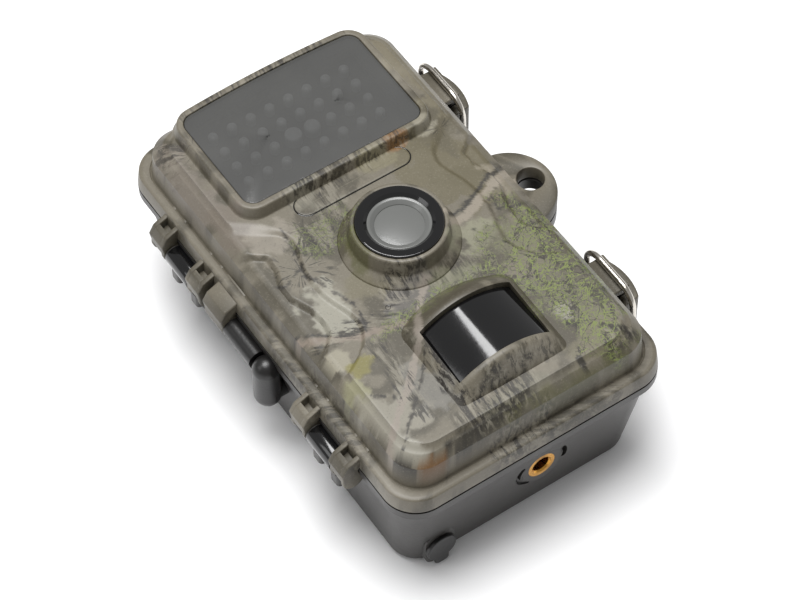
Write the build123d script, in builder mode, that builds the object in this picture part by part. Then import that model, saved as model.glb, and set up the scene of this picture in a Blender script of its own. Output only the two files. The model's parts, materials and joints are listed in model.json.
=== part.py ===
from build123d import *
import os

# Clamshell trail camera, lying on its back. Millimetres.
# The origin is the centre of the back face, +Z points out of the lens side, +Y to the
# camera's top (the lamp window) and +X to its latch side. The hinge side is -X.

os.makedirs("parts", exist_ok=True)

# ---------------------------------------------------------------- driving dimensions
# Housing outline at the seam, and its depth below and above it.
body_half_width = 43.0
body_half_length = 70.0
body_corner = 10.0
rear_depth = 37.6
seam_gap = 0.5
rim_height = 4.2
rim_step = 2.0
wall = 2.4
floor_thickness = 2.4
draft_x = 3.6
draft_y = 5.4
bottom_edge_radius = 2.6
back_recess_depth = 0.9
back_recess_margin = 9.0
back_rib_width = 1.6
back_pad_radius = 9.0

# Front cover: a flange at the seam with a dome standing on it.
flange_height = 5.1
flange_draft = 6.0
flange_edge = 1.1
dome_inset = 3.3
dome_height = 11.4
dome_draft = 3.5
dome_edge = 3.0
roof_thickness = 2.8
dome_wall = 2.3
plateau_height = 0.8
recess_depth = 1.3

# Seal in the rear rim.
seal_width = 1.8
seal_depth = 1.4
seal_inset = 1.3

# Lamp window.
window_y = 43.6
window_half_x = 28.5
window_half_y = 17.8
window_corner = 3.5
frame_width = 2.5
frame_height = 4.4
pane_thickness = 1.6
pane_recess = 0.25
mask_thickness = 0.5
mask_border = 3.1
pane_clearance = 0.1
lamp_board_half_x = 26.8
lamp_board_half_y = 15.8
board_thickness = 1.6
lamp_columns = 8
lamp_rows = 4
lamp_pitch = 6.15
lamp_radius = 1.5
lamp_height = 3.2
lamp_offset_x = -0.5
lamp_offset_y = 2.3

# Lens turret.
lens_y = -4.0
turret_radius = 13.4
turret_height = 8.8
turret_base_radius = 16.6
turret_base_height = 2.4
lens_ring_radius = 12.0
lens_ring_bore = 8.8
lens_ring_thickness = 2.1
lens_window_thickness = 1.2
lens_ring_proud = 0.5
barrel_radius = 6.0
barrel_head_radius = 7.6
holder_half = 8.5
filter_half_x = 6.0
filter_half_y = 4.2
filter_thickness = 0.6
filter_x = 1.0
filter_clearance = 0.1

# Motion-sensor hood: an arched roof along X carried along Y.
hood_y = -43.5
hood_half_x = 17.2
hood_half_y = 12.8
hood_arch_radius = 23.5
hood_height = 9.7
hood_slope_top = 8.0
hood_slope_bottom = 3.6
pir_half_x = 14.3
pir_half_y = 9.2
pir_recess = 1.4
pir_wall = 1.2
pir_clearance = 0.2
pir_flange = 2.6
pir_sensor_radius = 4.1

# Hinge: knuckles in pairs either side of the middle, on one axis along Y.
hinge_outset = 1.6
hinge_below_seam = 4.9
hinge_radius = 3.2
hinge_pin_radius = 1.25
running_clearance = 0.05
knuckle_width = 6.9
knuckle_near = 26.2
knuckle_far = 45.0
knuckle_wall = 1.5
knuckle_gap = 0.35
cable_block_y = 16.0
cable_block_width = 9.4
sleeve_end_y = -1.8
sleeve_insert = 4.0
boot_radius = 3.9
boot_drop = 11.0

# Latches: a hanging lever, a wire bail and a catch on the cover.
latch_places = (("upper", 43.0), ("lower", -37.5))
lever_pivot_out = 4.4
lever_pivot_below_seam = 3.3
bail_pivot_in = 1.0
bail_pivot_drop = 7.0
lever_half_width = 7.6
lever_thickness = 2.1
lever_bulge = 1.6
lever_above_pivot = 2.6
lever_below_pivot = 22.4
lever_gap = 2.5
lug_half_width = 4.0
lug_radius = 1.9
lug_arm_height = 2.4
latch_pin_radius = 1.0
latch_pin_inset = 0.9
cheek_width = 3.2
cheek_radius = 2.0
bail_wire_radius = 0.9
bail_half_width = 10.5
bail_bar_out = 2.9
bail_bar_above_seam = 5.8
bail_corner = 6.0
catch_half_width = 6.2
catch_out = 5.0
catch_top_below_bar = 1.35
catch_thickness = 2.1
catch_lip = 0.6
catch_lip_width = 0.9

# Padlock ear, one leaf on each half.
ear_y = 1.0
ear_radius = 13.4
ear_centre_in = 3.2
ear_hole_out = 4.0
ear_hole_radius = 3.9
ear_leaf_gap = 0.2
front_ear_thickness = 4.6
rear_ear_thickness = 4.0

# Tripod socket in the bottom wall.
socket_x = 3.5
socket_z = 21.0
insert_radius = 4.25
thread_minor_radius = 2.6
insert_length = 7.0
socket_boss_radius = 6.2
socket_boss_length = 8.0
socket_slot_radius = 7.6
socket_slot_width = 1.5
socket_slot_depth = 1.6

# External power socket and its rubber plug, in the bottom wall.
power_x = -28.5
power_z = 8.0
power_jack_radius = 4.0
power_jack_bore = 2.75
power_jack_length = 7.2
power_pad_half_x = 4.6
power_pad_half_z = 6.2
power_pad_proud = 0.9
plug_clearance = 0.06
plug_cap_thickness = 0.9
plug_stem_length = 4.4

# Strap guides on both side walls.
strap_guide_z = 19.5
strap_guide_height = 4.6
strap_guide_length = 4.4
strap_guide_out = 4.4
strap_guide_places = (34.0, 44.0, -28.6, -37.2)

# Battery tray for AA cells, two end to end in each channel.
cell_radius = 7.25
cell_length = 50.5
cell_channels = 4
cell_pitch = 15.2
cell_clearance = 0.15
tray_floor = 1.2
tray_end_wall = 1.6
tray_bulkhead = 3.0
tray_height = 16.0
spring_length = 3.0
spring_wire = 0.42
spring_turns = 4
spring_radius = 3.2
contact_thickness = 0.5
contact_half = 4.5
tray_screw_radius = 1.2
tray_screw_head = 2.3

# Electronics in the cover.
panel_thickness = 2.0
panel_sunk = 0.4
panel_clearance = 0.2
boss_radius = 3.0
boss_inset_x = 4.0
boss_inset_y = 4.6
screw_radius = 1.0
screw_head_radius = 2.1
screw_head_height = 1.0
main_board_half_x = 28.6
main_board_half_y = 46.0
main_board_y = -12.0
post_radius = 2.5
post_inset_x = 3.0
post_inset_y = 9.0
lcd_y = 12.0
lcd_half_x = 23.0
lcd_half_y = 17.0
lcd_thickness = 2.5
lcd_view_half_x = 20.5
lcd_view_half_y = 15.0
lcd_pane_half_x = 22.5
lcd_pane_half_y = 17.0
lcd_pane_thickness = 0.8
key_radius = 3.3
key_flange = 0.9
key_clearance = 0.1
key_proud = 0.8
key_travel = 0.5
key_pitch = 9.2
key_centre_y = -31.0
menu_key_x = -21.0
switch_x = 21.0
switch_half_x = 4.0
switch_half_y = 7.0
switch_throw = 2.5
knob_half_x = 1.5
knob_half_y = 2.0
card_x = -16.2
card_width = 11.0
card_length = 15.0
card_thickness = 1.0
card_slot_wall = 0.45
card_front_y = -53.5
usb_x = 18.0
usb_y = -51.0
usb_half_x = 3.8
usb_half_y = 2.8
speaker_x = -18.0
speaker_y = 49.5
speaker_radius = 9.0
speaker_thickness = 4.0
microphone_x = -14.9
microphone_y = -20.6
microphone_radius = 2.0
microphone_hole = 0.5
badge_half_x = 18.2
badge_depth = 0.7
badge_height = 6.6
badge_corner = 3.4
badge_seam = 0.12

# ---------------------------------------------------------------- derived levels and places
rim_bottom = rear_depth - rim_height
seal_out = seal_inset
seal_in = seal_inset + seal_width
cover_z = rear_depth + seam_gap
flange_top = cover_z + flange_height
dome_top = flange_top + dome_height
plateau_top = dome_top + plateau_height
roof_inner = dome_top - roof_thickness
tub_half_x = body_half_width - rim_step
tub_half_y = body_half_length - rim_step
tub_corner = body_corner - rim_step / 2
foot_half_x = tub_half_x - draft_x
foot_half_y = tub_half_y - draft_y
cavity_half_x = tub_half_x - wall
cavity_half_y = tub_half_y - wall
cavity_corner = tub_corner - wall
dome_half_x = body_half_width - dome_inset
dome_half_y = body_half_length - dome_inset - 0.2
cover_cavity_half_x = dome_half_x - dome_wall
cover_cavity_half_y = dome_half_y - dome_wall
panel_bottom = cover_z + panel_sunk
panel_top = panel_bottom + panel_thickness
main_board_bottom = panel_top + lcd_thickness
main_board_top = main_board_bottom + board_thickness
hinge_x = -body_half_width - hinge_outset
hinge_z = cover_z - hinge_below_seam
lever_x = body_half_width + lever_pivot_out
lever_z = cover_z - lever_pivot_below_seam
bail_pivot_x = lever_x - bail_pivot_in
bail_pivot_z = lever_z - bail_pivot_drop
bail_bar_x = body_half_width + bail_bar_out
bail_bar_z = cover_z + bail_bar_above_seam
frame_top = dome_top + frame_height
pane_top = frame_top - pane_recess
pane_bottom = pane_top - pane_thickness
mask_bottom = pane_bottom - mask_thickness
lamp_y = window_y + lamp_offset_y
turret_top = dome_top + turret_height
lens_ring_bottom = turret_top + lens_ring_proud - lens_ring_thickness
lens_window_bottom = lens_ring_bottom - lens_window_thickness
hood_top = dome_top + hood_height
hood_centre_z = hood_top - hood_arch_radius
tray_half_x = cell_pitch * (cell_channels / 2) + 0.6
tray_channel_length = cell_length + spring_length + contact_thickness
tray_half_y = tray_bulkhead / 2 + tray_channel_length + tray_end_wall
cell_z = floor_thickness + tray_floor + cell_radius + cell_clearance
socket_face_y = foot_half_y + draft_y * socket_z / rim_bottom
power_face_y = foot_half_y + draft_y * power_z / rim_bottom + power_pad_proud
ear_centre_x = body_half_width - ear_centre_in
ear_hole_x = body_half_width + ear_hole_out

all_knuckles = (knuckle_far, knuckle_near, -knuckle_near, -knuckle_far)
barrel_length = knuckle_far - knuckle_near - knuckle_width - 2 * knuckle_gap
barrel_centre = (knuckle_far + knuckle_near) / 2
pin_half_length = (knuckle_far - knuckle_near + knuckle_width) / 2 - 0.2
channel_places = [cell_pitch * (i - (cell_channels - 1) / 2) for i in range(cell_channels)]
panel_bosses = [
    (sx * (cover_cavity_half_x - boss_inset_x), sy * (cover_cavity_half_y - boss_inset_y))
    for sx in (-1, 1)
    for sy in (-1, 0, 1)
]
board_posts = [
    (sx * (main_board_half_x - post_inset_x), main_board_y + sy * (main_board_half_y - post_inset_y))
    for sx in (-1, 1)
    for sy in (-1, 1)
]
key_places = {
    "key_up": (0.0, key_centre_y + key_pitch),
    "key_down": (0.0, key_centre_y - key_pitch),
    "key_left": (-key_pitch, key_centre_y),
    "key_right": (key_pitch, key_centre_y),
    "key_ok": (0.0, key_centre_y),
    "key_menu": (menu_key_x, key_centre_y),
}


def save(builder, name):
    """Label one finished sub-part and write its STEP file."""
    builder.part.label = name
    export_step(builder.part, f"parts/{name}.step")


def plate(name, half_x, half_y, corner, bottom, thickness, centre=(0.0, 0.0)):
    """Write a flat plate with rounded corners."""
    with BuildPart() as flat:
        with BuildSketch(Plane.XY.offset(bottom)):
            with Locations(centre):
                RectangleRounded(2 * half_x, 2 * half_y, corner)
        extrude(amount=thickness)
    save(flat, name)


def disc(name, radius, bottom, height, centre, edge=0.0):
    """Write a round piece standing along Z, its top edge rounded where edge is given."""
    with BuildPart() as round_piece:
        with BuildSketch(Plane.XY.offset(bottom)):
            with Locations(centre):
                Circle(radius)
        extrude(amount=height)
        if edge:
            fillet(round_piece.faces().sort_by(Axis.Z)[-1].edges(), edge)
    save(round_piece, name)


def along_y(start_y):
    """Plane with local X to the right and local Y up, whose extrusion runs towards +Y."""
    return Plane(origin=(0, start_y, 0), x_dir=(-1, 0, 0), z_dir=(0, 1, 0))


# ---------------------------------------------------------------- hinge fittings
with BuildPart() as cable_boot:
    # Rubber elbow that leads the cable from the hinge line into the rear wall.
    with BuildSketch(Plane.XY.offset(hinge_z)):
        with Locations((hinge_x, sleeve_end_y - boot_radius)):
            Circle(boot_radius)
    extrude(amount=-boot_drop)
    with Locations((hinge_x, sleeve_end_y - boot_radius, hinge_z)):
        Sphere(boot_radius)
    with Locations((hinge_x, sleeve_end_y - boot_radius, hinge_z - boot_drop)):
        Sphere(boot_radius)
    with BuildSketch(Plane.YZ.offset(hinge_x)):
        with Locations((sleeve_end_y - boot_radius, hinge_z - boot_drop)):
            Circle(boot_radius - 0.9)
    extrude(amount=-hinge_x - cavity_half_x + 1.0)
save(cable_boot, "cable_boot")

sleeve_length = cable_block_y - cable_block_width / 2 + sleeve_insert - sleeve_end_y
with BuildPart() as cable_sleeve:
    with BuildSketch(along_y(sleeve_end_y)):
        with Locations((-hinge_x, hinge_z)):
            Circle(hinge_radius - 0.2)
            Circle(hinge_radius - 1.6, mode=Mode.SUBTRACT)
    extrude(amount=sleeve_length)
    add(cable_boot.part, mode=Mode.SUBTRACT)
save(cable_sleeve, "cable_sleeve")

with BuildPart() as hinge_pins:
    for side in (-1, 1):
        with BuildSketch(along_y(side * barrel_centre - pin_half_length)):
            with Locations((-hinge_x, hinge_z)):
                Circle(hinge_pin_radius)
        extrude(amount=2 * pin_half_length)
save(hinge_pins, "hinge_pins")

# ---------------------------------------------------------------- rear shell
with BuildPart() as rear_shell:
    # Drafted tub under a deeper rim at the seam.
    with BuildSketch(Plane.XY):
        RectangleRounded(2 * foot_half_x, 2 * foot_half_y, tub_corner - 1.0)
    with BuildSketch(Plane.XY.offset(rim_bottom)):
        RectangleRounded(2 * tub_half_x, 2 * tub_half_y, tub_corner)
    loft()
    fillet(rear_shell.faces().sort_by(Axis.Z)[0].edges(), bottom_edge_radius)
    with BuildSketch(Plane.XY.offset(rim_bottom)):
        RectangleRounded(2 * body_half_width, 2 * body_half_length, body_corner)
    extrude(amount=rim_height)
    rim_under = rear_shell.faces().filter_by(Plane.XY).sort_by(Axis.Z)[1]
    chamfer(rim_under.outer_wire().edges(), rim_step * 0.8)

    # Strap guides on both side walls.
    for side in (-1, 1):
        with BuildSketch(Plane.XY.offset(strap_guide_z - strap_guide_height / 2)):
            for place in strap_guide_places:
                with Locations((side * (foot_half_x + strap_guide_out / 2), place)):
                    RectangleRounded(strap_guide_out * 2, strap_guide_length, 1.2)
        extrude(amount=strap_guide_height)

    # Hinge barrels between the cover's knuckles.
    for side in (-1, 1):
        with BuildSketch(along_y(side * barrel_centre - barrel_length / 2)):
            with Locations((-hinge_x, hinge_z)):
                Circle(hinge_radius - 0.1)
        extrude(amount=barrel_length)

    # Lug for each latch lever.
    for _, latch_y in latch_places:
        with BuildSketch(along_y(latch_y - lug_half_width)):
            with Locations((-lever_x, lever_z)):
                Circle(lug_radius)
            with Locations((-(lever_x + tub_half_x) / 2, lever_z - lug_radius + lug_arm_height / 2)):
                Rectangle(lever_x - tub_half_x, lug_arm_height)
        extrude(amount=2 * lug_half_width)

    # Rear leaf of the padlock ear.
    with BuildSketch(Plane.XY.offset(rear_depth - ear_leaf_gap - rear_ear_thickness)):
        with Locations((ear_centre_x, ear_y)):
            Circle(ear_radius)
    extrude(amount=rear_ear_thickness)

    # Raised pad for the power socket.
    with BuildSketch(Plane.XZ.offset(power_face_y)):
        with Locations((power_x, power_z)):
            RectangleRounded(2 * power_pad_half_x, 2 * power_pad_half_z, 3.0)
    extrude(amount=-power_jack_length * 0.6)

    # Cavity.
    with BuildSketch(Plane.XY.offset(floor_thickness)):
        RectangleRounded(2 * (foot_half_x - wall), 2 * (foot_half_y - wall), cavity_corner - 1.0)
    with BuildSketch(Plane.XY.offset(rim_bottom)):
        RectangleRounded(2 * cavity_half_x, 2 * cavity_half_y, cavity_corner)
    loft(mode=Mode.SUBTRACT)
    with BuildSketch(Plane.XY.offset(rim_bottom)):
        RectangleRounded(2 * cavity_half_x, 2 * cavity_half_y, cavity_corner)
    extrude(amount=rim_height + 1.0, mode=Mode.SUBTRACT)

    # Groove for the seal.
    with BuildSketch(Plane.XY.offset(rear_depth)):
        RectangleRounded(
            2 * (body_half_width - seal_out), 2 * (body_half_length - seal_out), body_corner - seal_out
        )
        RectangleRounded(
            2 * (body_half_width - seal_in),
            2 * (body_half_length - seal_in),
            body_corner - seal_in,
            mode=Mode.SUBTRACT,
        )
    extrude(amount=-seal_depth, mode=Mode.SUBTRACT)

    # Tripod socket: a boss with a face square to the bottom, in a drafted wall.
    with BuildSketch(Plane.XZ.offset(socket_face_y)):
        with Locations((socket_x, socket_z)):
            Circle(socket_boss_radius)
    extrude(amount=-socket_boss_length)
    with BuildSketch(Plane.XZ.offset(socket_face_y)):
        with Locations((socket_x, socket_z)):
            Circle(socket_boss_radius + 0.5)
    extrude(amount=body_half_length - socket_face_y, mode=Mode.SUBTRACT)
    with BuildSketch(Plane.XZ.offset(socket_face_y)):
        with Locations((socket_x, socket_z)):
            Circle(insert_radius)
    extrude(amount=-insert_length, mode=Mode.SUBTRACT)
    for start, sweep_angle in ((150, 38), (198, 46), (-12, 42)):
        slot_arc = CenterArc((socket_x, socket_z), socket_slot_radius, start, sweep_angle, mode=Mode.PRIVATE)
        with BuildSketch(Plane.XZ.offset(body_half_length)):
            SlotArc(slot_arc, socket_slot_width)
        extrude(amount=-(body_half_length - socket_face_y + socket_slot_depth), mode=Mode.SUBTRACT)

    # Power socket bore and the pocket of the plug's cap.
    with BuildSketch(Plane.XZ.offset(power_face_y)):
        with Locations((power_x, power_z)):
            Circle(power_jack_radius)
    extrude(amount=-power_jack_length, mode=Mode.SUBTRACT)

    # Clearance round the cover's knuckles, the cable block, the sleeve and the boot.
    for place in all_knuckles:
        with BuildSketch(along_y(place - knuckle_width / 2 - knuckle_gap)):
            with Locations((-hinge_x, hinge_z)):
                Circle(hinge_radius + 0.4)
        extrude(amount=knuckle_width + 2 * knuckle_gap, mode=Mode.SUBTRACT)
    with BuildSketch(along_y(cable_block_y - cable_block_width / 2 - knuckle_gap)):
        with Locations((-hinge_x, hinge_z)):
            Circle(hinge_radius + 0.4)
    extrude(amount=cable_block_width + 2 * knuckle_gap, mode=Mode.SUBTRACT)
    with BuildSketch(along_y(sleeve_end_y)):
        with Locations((-hinge_x, hinge_z)):
            Circle(hinge_radius - 0.2)
    extrude(amount=sleeve_length, mode=Mode.SUBTRACT)
    add(cable_boot.part, mode=Mode.SUBTRACT)

    # Pin holes, ear hole and latch pin holes.
    for side in (-1, 1):
        with BuildSketch(along_y(side * barrel_centre - pin_half_length)):
            with Locations((-hinge_x, hinge_z)):
                Circle(hinge_pin_radius)
        extrude(amount=2 * pin_half_length, mode=Mode.SUBTRACT)
    with BuildSketch(Plane.XY.offset(rim_bottom - rear_ear_thickness)):
        with Locations((ear_hole_x, ear_y)):
            Circle(ear_hole_radius)
    extrude(amount=3 * rear_ear_thickness, mode=Mode.SUBTRACT)
    for _, latch_y in latch_places:
        with BuildSketch(along_y(latch_y - lug_half_width)):
            with Locations((-lever_x, lever_z)):
                Circle(latch_pin_radius)
        extrude(amount=2 * lug_half_width, mode=Mode.SUBTRACT)

    # Shallow panel in the back, with its ribs and centre pad.
    recess_half_x = foot_half_x - back_recess_margin
    recess_half_y = foot_half_y - back_recess_margin
    with BuildSketch(Plane.XY):
        RectangleRounded(2 * recess_half_x, 2 * recess_half_y, 5.0)
        with GridLocations(recess_half_x * 0.4, 0, 5, 1):
            Rectangle(back_rib_width, 2 * recess_half_y, mode=Mode.SUBTRACT)
        Circle(back_pad_radius, mode=Mode.SUBTRACT)
    extrude(amount=back_recess_depth, mode=Mode.SUBTRACT)
save(rear_shell, "rear_shell")

with BuildPart() as seal:
    with BuildSketch(Plane.XY.offset(rear_depth - seal_depth)):
        RectangleRounded(
            2 * (body_half_width - seal_out), 2 * (body_half_length - seal_out), body_corner - seal_out
        )
        RectangleRounded(
            2 * (body_half_width - seal_in),
            2 * (body_half_length - seal_in),
            body_corner - seal_in,
            mode=Mode.SUBTRACT,
        )
    extrude(amount=seal_depth + seam_gap)
save(seal, "gasket")

with BuildPart() as tripod_insert:
    with BuildSketch(Plane.XZ.offset(socket_face_y)):
        with Locations((socket_x, socket_z)):
            Circle(insert_radius)
            Circle(thread_minor_radius, mode=Mode.SUBTRACT)
    extrude(amount=-insert_length)
    mouth = tripod_insert.faces().sort_by(Axis.Y)[0].edges().sort_by(SortBy.RADIUS)[0]
    chamfer(mouth, 0.5)
save(tripod_insert, "tripod_insert")

with BuildPart() as power_jack:
    with BuildSketch(Plane.XZ.offset(power_face_y - plug_cap_thickness)):
        with Locations((power_x, power_z)):
            Circle(power_jack_radius)
    extrude(amount=-(power_jack_length - plug_cap_thickness))
    with BuildSketch(Plane.XZ.offset(power_face_y - plug_cap_thickness)):
        with Locations((power_x, power_z)):
            Circle(power_jack_bore)
            Circle(0.9, mode=Mode.SUBTRACT)
    extrude(amount=-(plug_stem_length + 0.6), mode=Mode.SUBTRACT)
save(power_jack, "power_jack")

with BuildPart() as power_plug:
    # Cap with a pull tab over a hollow stem that slips round the jack's centre pin.
    with BuildSketch(Plane.XZ.offset(power_face_y)):
        with Locations((power_x, power_z)):
            Circle(power_jack_radius + 0.6)
        with Locations((power_x, power_z - power_jack_radius)):
            RectangleRounded(4.6, 5.6, 1.4)
    extrude(amount=1.2)
    fillet(power_plug.faces().sort_by(Axis.Y)[0].edges(), 0.4)
    with BuildSketch(Plane.XZ.offset(power_face_y)):
        with Locations((power_x, power_z)):
            Circle(power_jack_radius - plug_clearance)
    extrude(amount=-(plug_cap_thickness - plug_clearance))
    with BuildSketch(Plane.XZ.offset(power_face_y)):
        with Locations((power_x, power_z)):
            Circle(power_jack_bore - plug_clearance)
    extrude(amount=-(plug_cap_thickness + plug_stem_length))
    with BuildSketch(Plane.XZ.offset(power_face_y - plug_cap_thickness)):
        with Locations((power_x, power_z)):
            Circle(0.9 + plug_clearance)
    extrude(amount=-(plug_stem_length + 0.1), mode=Mode.SUBTRACT)
save(power_plug, "power_plug")

# ---------------------------------------------------------------- batteries
with BuildPart() as battery_tray:
    with BuildSketch(Plane.XY.offset(floor_thickness)):
        RectangleRounded(2 * tray_half_x, 2 * tray_half_y, 2.0)
    extrude(amount=tray_height)
    for end in (-1, 1):
        start = tray_bulkhead / 2 if end > 0 else -tray_bulkhead / 2 - tray_channel_length
        with BuildSketch(along_y(start)):
            for place in channel_places:
                with Locations((-place, cell_z)):
                    Circle(cell_radius + cell_clearance)
                with Locations((-place, cell_z + tray_height / 2)):
                    Rectangle(2 * (cell_radius + cell_clearance) * 0.93, tray_height)
        extrude(amount=tray_channel_length, mode=Mode.SUBTRACT)
    with BuildSketch(Plane.XY.offset(floor_thickness)):
        with GridLocations(2 * cell_pitch, 0, 2, 1):
            Circle(tray_screw_radius)
    extrude(amount=tray_height, mode=Mode.SUBTRACT)
save(battery_tray, "battery_tray")

with BuildPart() as tray_screws:
    with BuildSketch(Plane.XY.offset(floor_thickness)):
        with GridLocations(2 * cell_pitch, 0, 2, 1):
            Circle(tray_screw_radius)
    extrude(amount=tray_height)
    with BuildSketch(Plane.XY.offset(floor_thickness + tray_height)):
        with GridLocations(2 * cell_pitch, 0, 2, 1):
            Circle(tray_screw_head)
    extrude(amount=1.2)
save(tray_screws, "tray_screws")

with BuildPart() as battery_cells:
    for end in (-1, 1):
        start = tray_bulkhead / 2 + contact_thickness
        if end < 0:
            start = -start - cell_length
        with BuildSketch(along_y(start)):
            for place in channel_places:
                with Locations((-place, cell_z)):
                    Circle(cell_radius)
        extrude(amount=cell_length)
save(battery_cells, "battery_cells")

with BuildPart() as battery_contacts:
    for end in (-1, 1):
        start = tray_bulkhead / 2 if end > 0 else -tray_bulkhead / 2 - contact_thickness
        with BuildSketch(along_y(start)):
            for place in channel_places:
                with Locations((-place, cell_z)):
                    RectangleRounded(2 * contact_half, 2 * contact_half, 1.0)
        extrude(amount=contact_thickness)
save(battery_contacts, "battery_contacts")

spring_pitch = (spring_length - 2 * spring_wire) / (spring_turns - 1)
spring_start = tray_bulkhead / 2 + contact_thickness + cell_length
with BuildPart() as battery_springs:
    # Close-wound contact springs, each turn drawn as a ring that meets the next.
    for end in (-1, 1):
        for place in channel_places:
            ring_plane = Plane(origin=(place, 0, cell_z), x_dir=(1, 0, 0), z_dir=(0, 0, 1))
            with BuildSketch(ring_plane):
                for turn in range(spring_turns):
                    ring_y = spring_start + spring_wire + turn * spring_pitch
                    with Locations((spring_radius, end * ring_y)):
                        Circle(spring_wire)
                with Locations((spring_radius, end * (spring_start + spring_length / 2))):
                    Rectangle(spring_wire, spring_length - 2 * spring_wire)
            revolve(axis=Axis((place, 0, cell_z), (0, 1, 0)))
save(battery_springs, "battery_springs")

# ---------------------------------------------------------------- latches
with BuildPart() as latch_pins:
    for _, latch_y in latch_places:
        with BuildSketch(along_y(latch_y - lever_half_width + latch_pin_inset)):
            with Locations((-lever_x, lever_z)):
                Circle(latch_pin_radius)
        extrude(amount=2 * (lever_half_width - latch_pin_inset))
save(latch_pins, "latch_pins")

lever_outer = lever_gap + lever_thickness
for latch_name, latch_y in latch_places:
    with BuildPart() as lever:
        # Curved plate hanging outside the pivot.
        with BuildSketch(Plane.XY.offset(lever_z - lever_below_pivot)):
            with BuildLine():
                end_out = (lever_x + lever_outer - lever_bulge, latch_y - lever_half_width)
                end_in = (lever_x + lever_gap - lever_bulge, latch_y - lever_half_width)
                far_in = (lever_x + lever_gap - lever_bulge, latch_y + lever_half_width)
                far_out = (lever_x + lever_outer - lever_bulge, latch_y + lever_half_width)
                Line(end_out, end_in)
                ThreePointArc(end_in, (lever_x + lever_gap, latch_y), far_in)
                Line(far_in, far_out)
                ThreePointArc(far_out, (lever_x + lever_outer, latch_y), end_out)
            make_face()
        extrude(amount=lever_below_pivot + lever_above_pivot)
        fillet(lever.edges().filter_by(Axis.X), 2.0)
        # Two cheeks that carry the pin and the ends of the bail.
        for side in (-1, 1):
            start = latch_y + side * (lever_half_width - cheek_width / 2) - cheek_width / 2
            with BuildSketch(along_y(start)):
                with Locations((-lever_x, lever_z), (-bail_pivot_x, bail_pivot_z)):
                    Circle(cheek_radius)
                with Locations((-(lever_x + lever_gap - 1.0), (lever_z + bail_pivot_z) / 2)):
                    Rectangle(1.0, bail_pivot_drop)
                make_hull()
                with Locations((-lever_x, lever_z)):
                    Circle(latch_pin_radius + running_clearance, mode=Mode.SUBTRACT)
                with Locations((-bail_pivot_x, bail_pivot_z)):
                    Circle(bail_wire_radius + running_clearance, mode=Mode.SUBTRACT)
            extrude(amount=cheek_width)
    save(lever, f"{latch_name}_latch_lever")

    with BuildPart() as bail:
        leg_y = bail_half_width
        tip_y = lever_half_width - cheek_width + 0.4
        corners = [
            (bail_pivot_x, latch_y - tip_y, bail_pivot_z),
            (bail_pivot_x, latch_y - leg_y, bail_pivot_z),
            (bail_bar_x, latch_y - leg_y, bail_bar_z),
            (bail_bar_x, latch_y + leg_y, bail_bar_z),
            (bail_pivot_x, latch_y + leg_y, bail_pivot_z),
            (bail_pivot_x, latch_y + tip_y, bail_pivot_z),
        ]
        with BuildLine() as wire_path:
            FilletPolyline(*corners, radius=[1.2, bail_corner, bail_corner, 1.2])
        with BuildSketch(Plane(origin=corners[0], z_dir=(0, -1, 0))):
            Circle(bail_wire_radius)
        sweep(path=wire_path.wires()[0])
    save(bail, f"{latch_name}_latch_bail")

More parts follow.
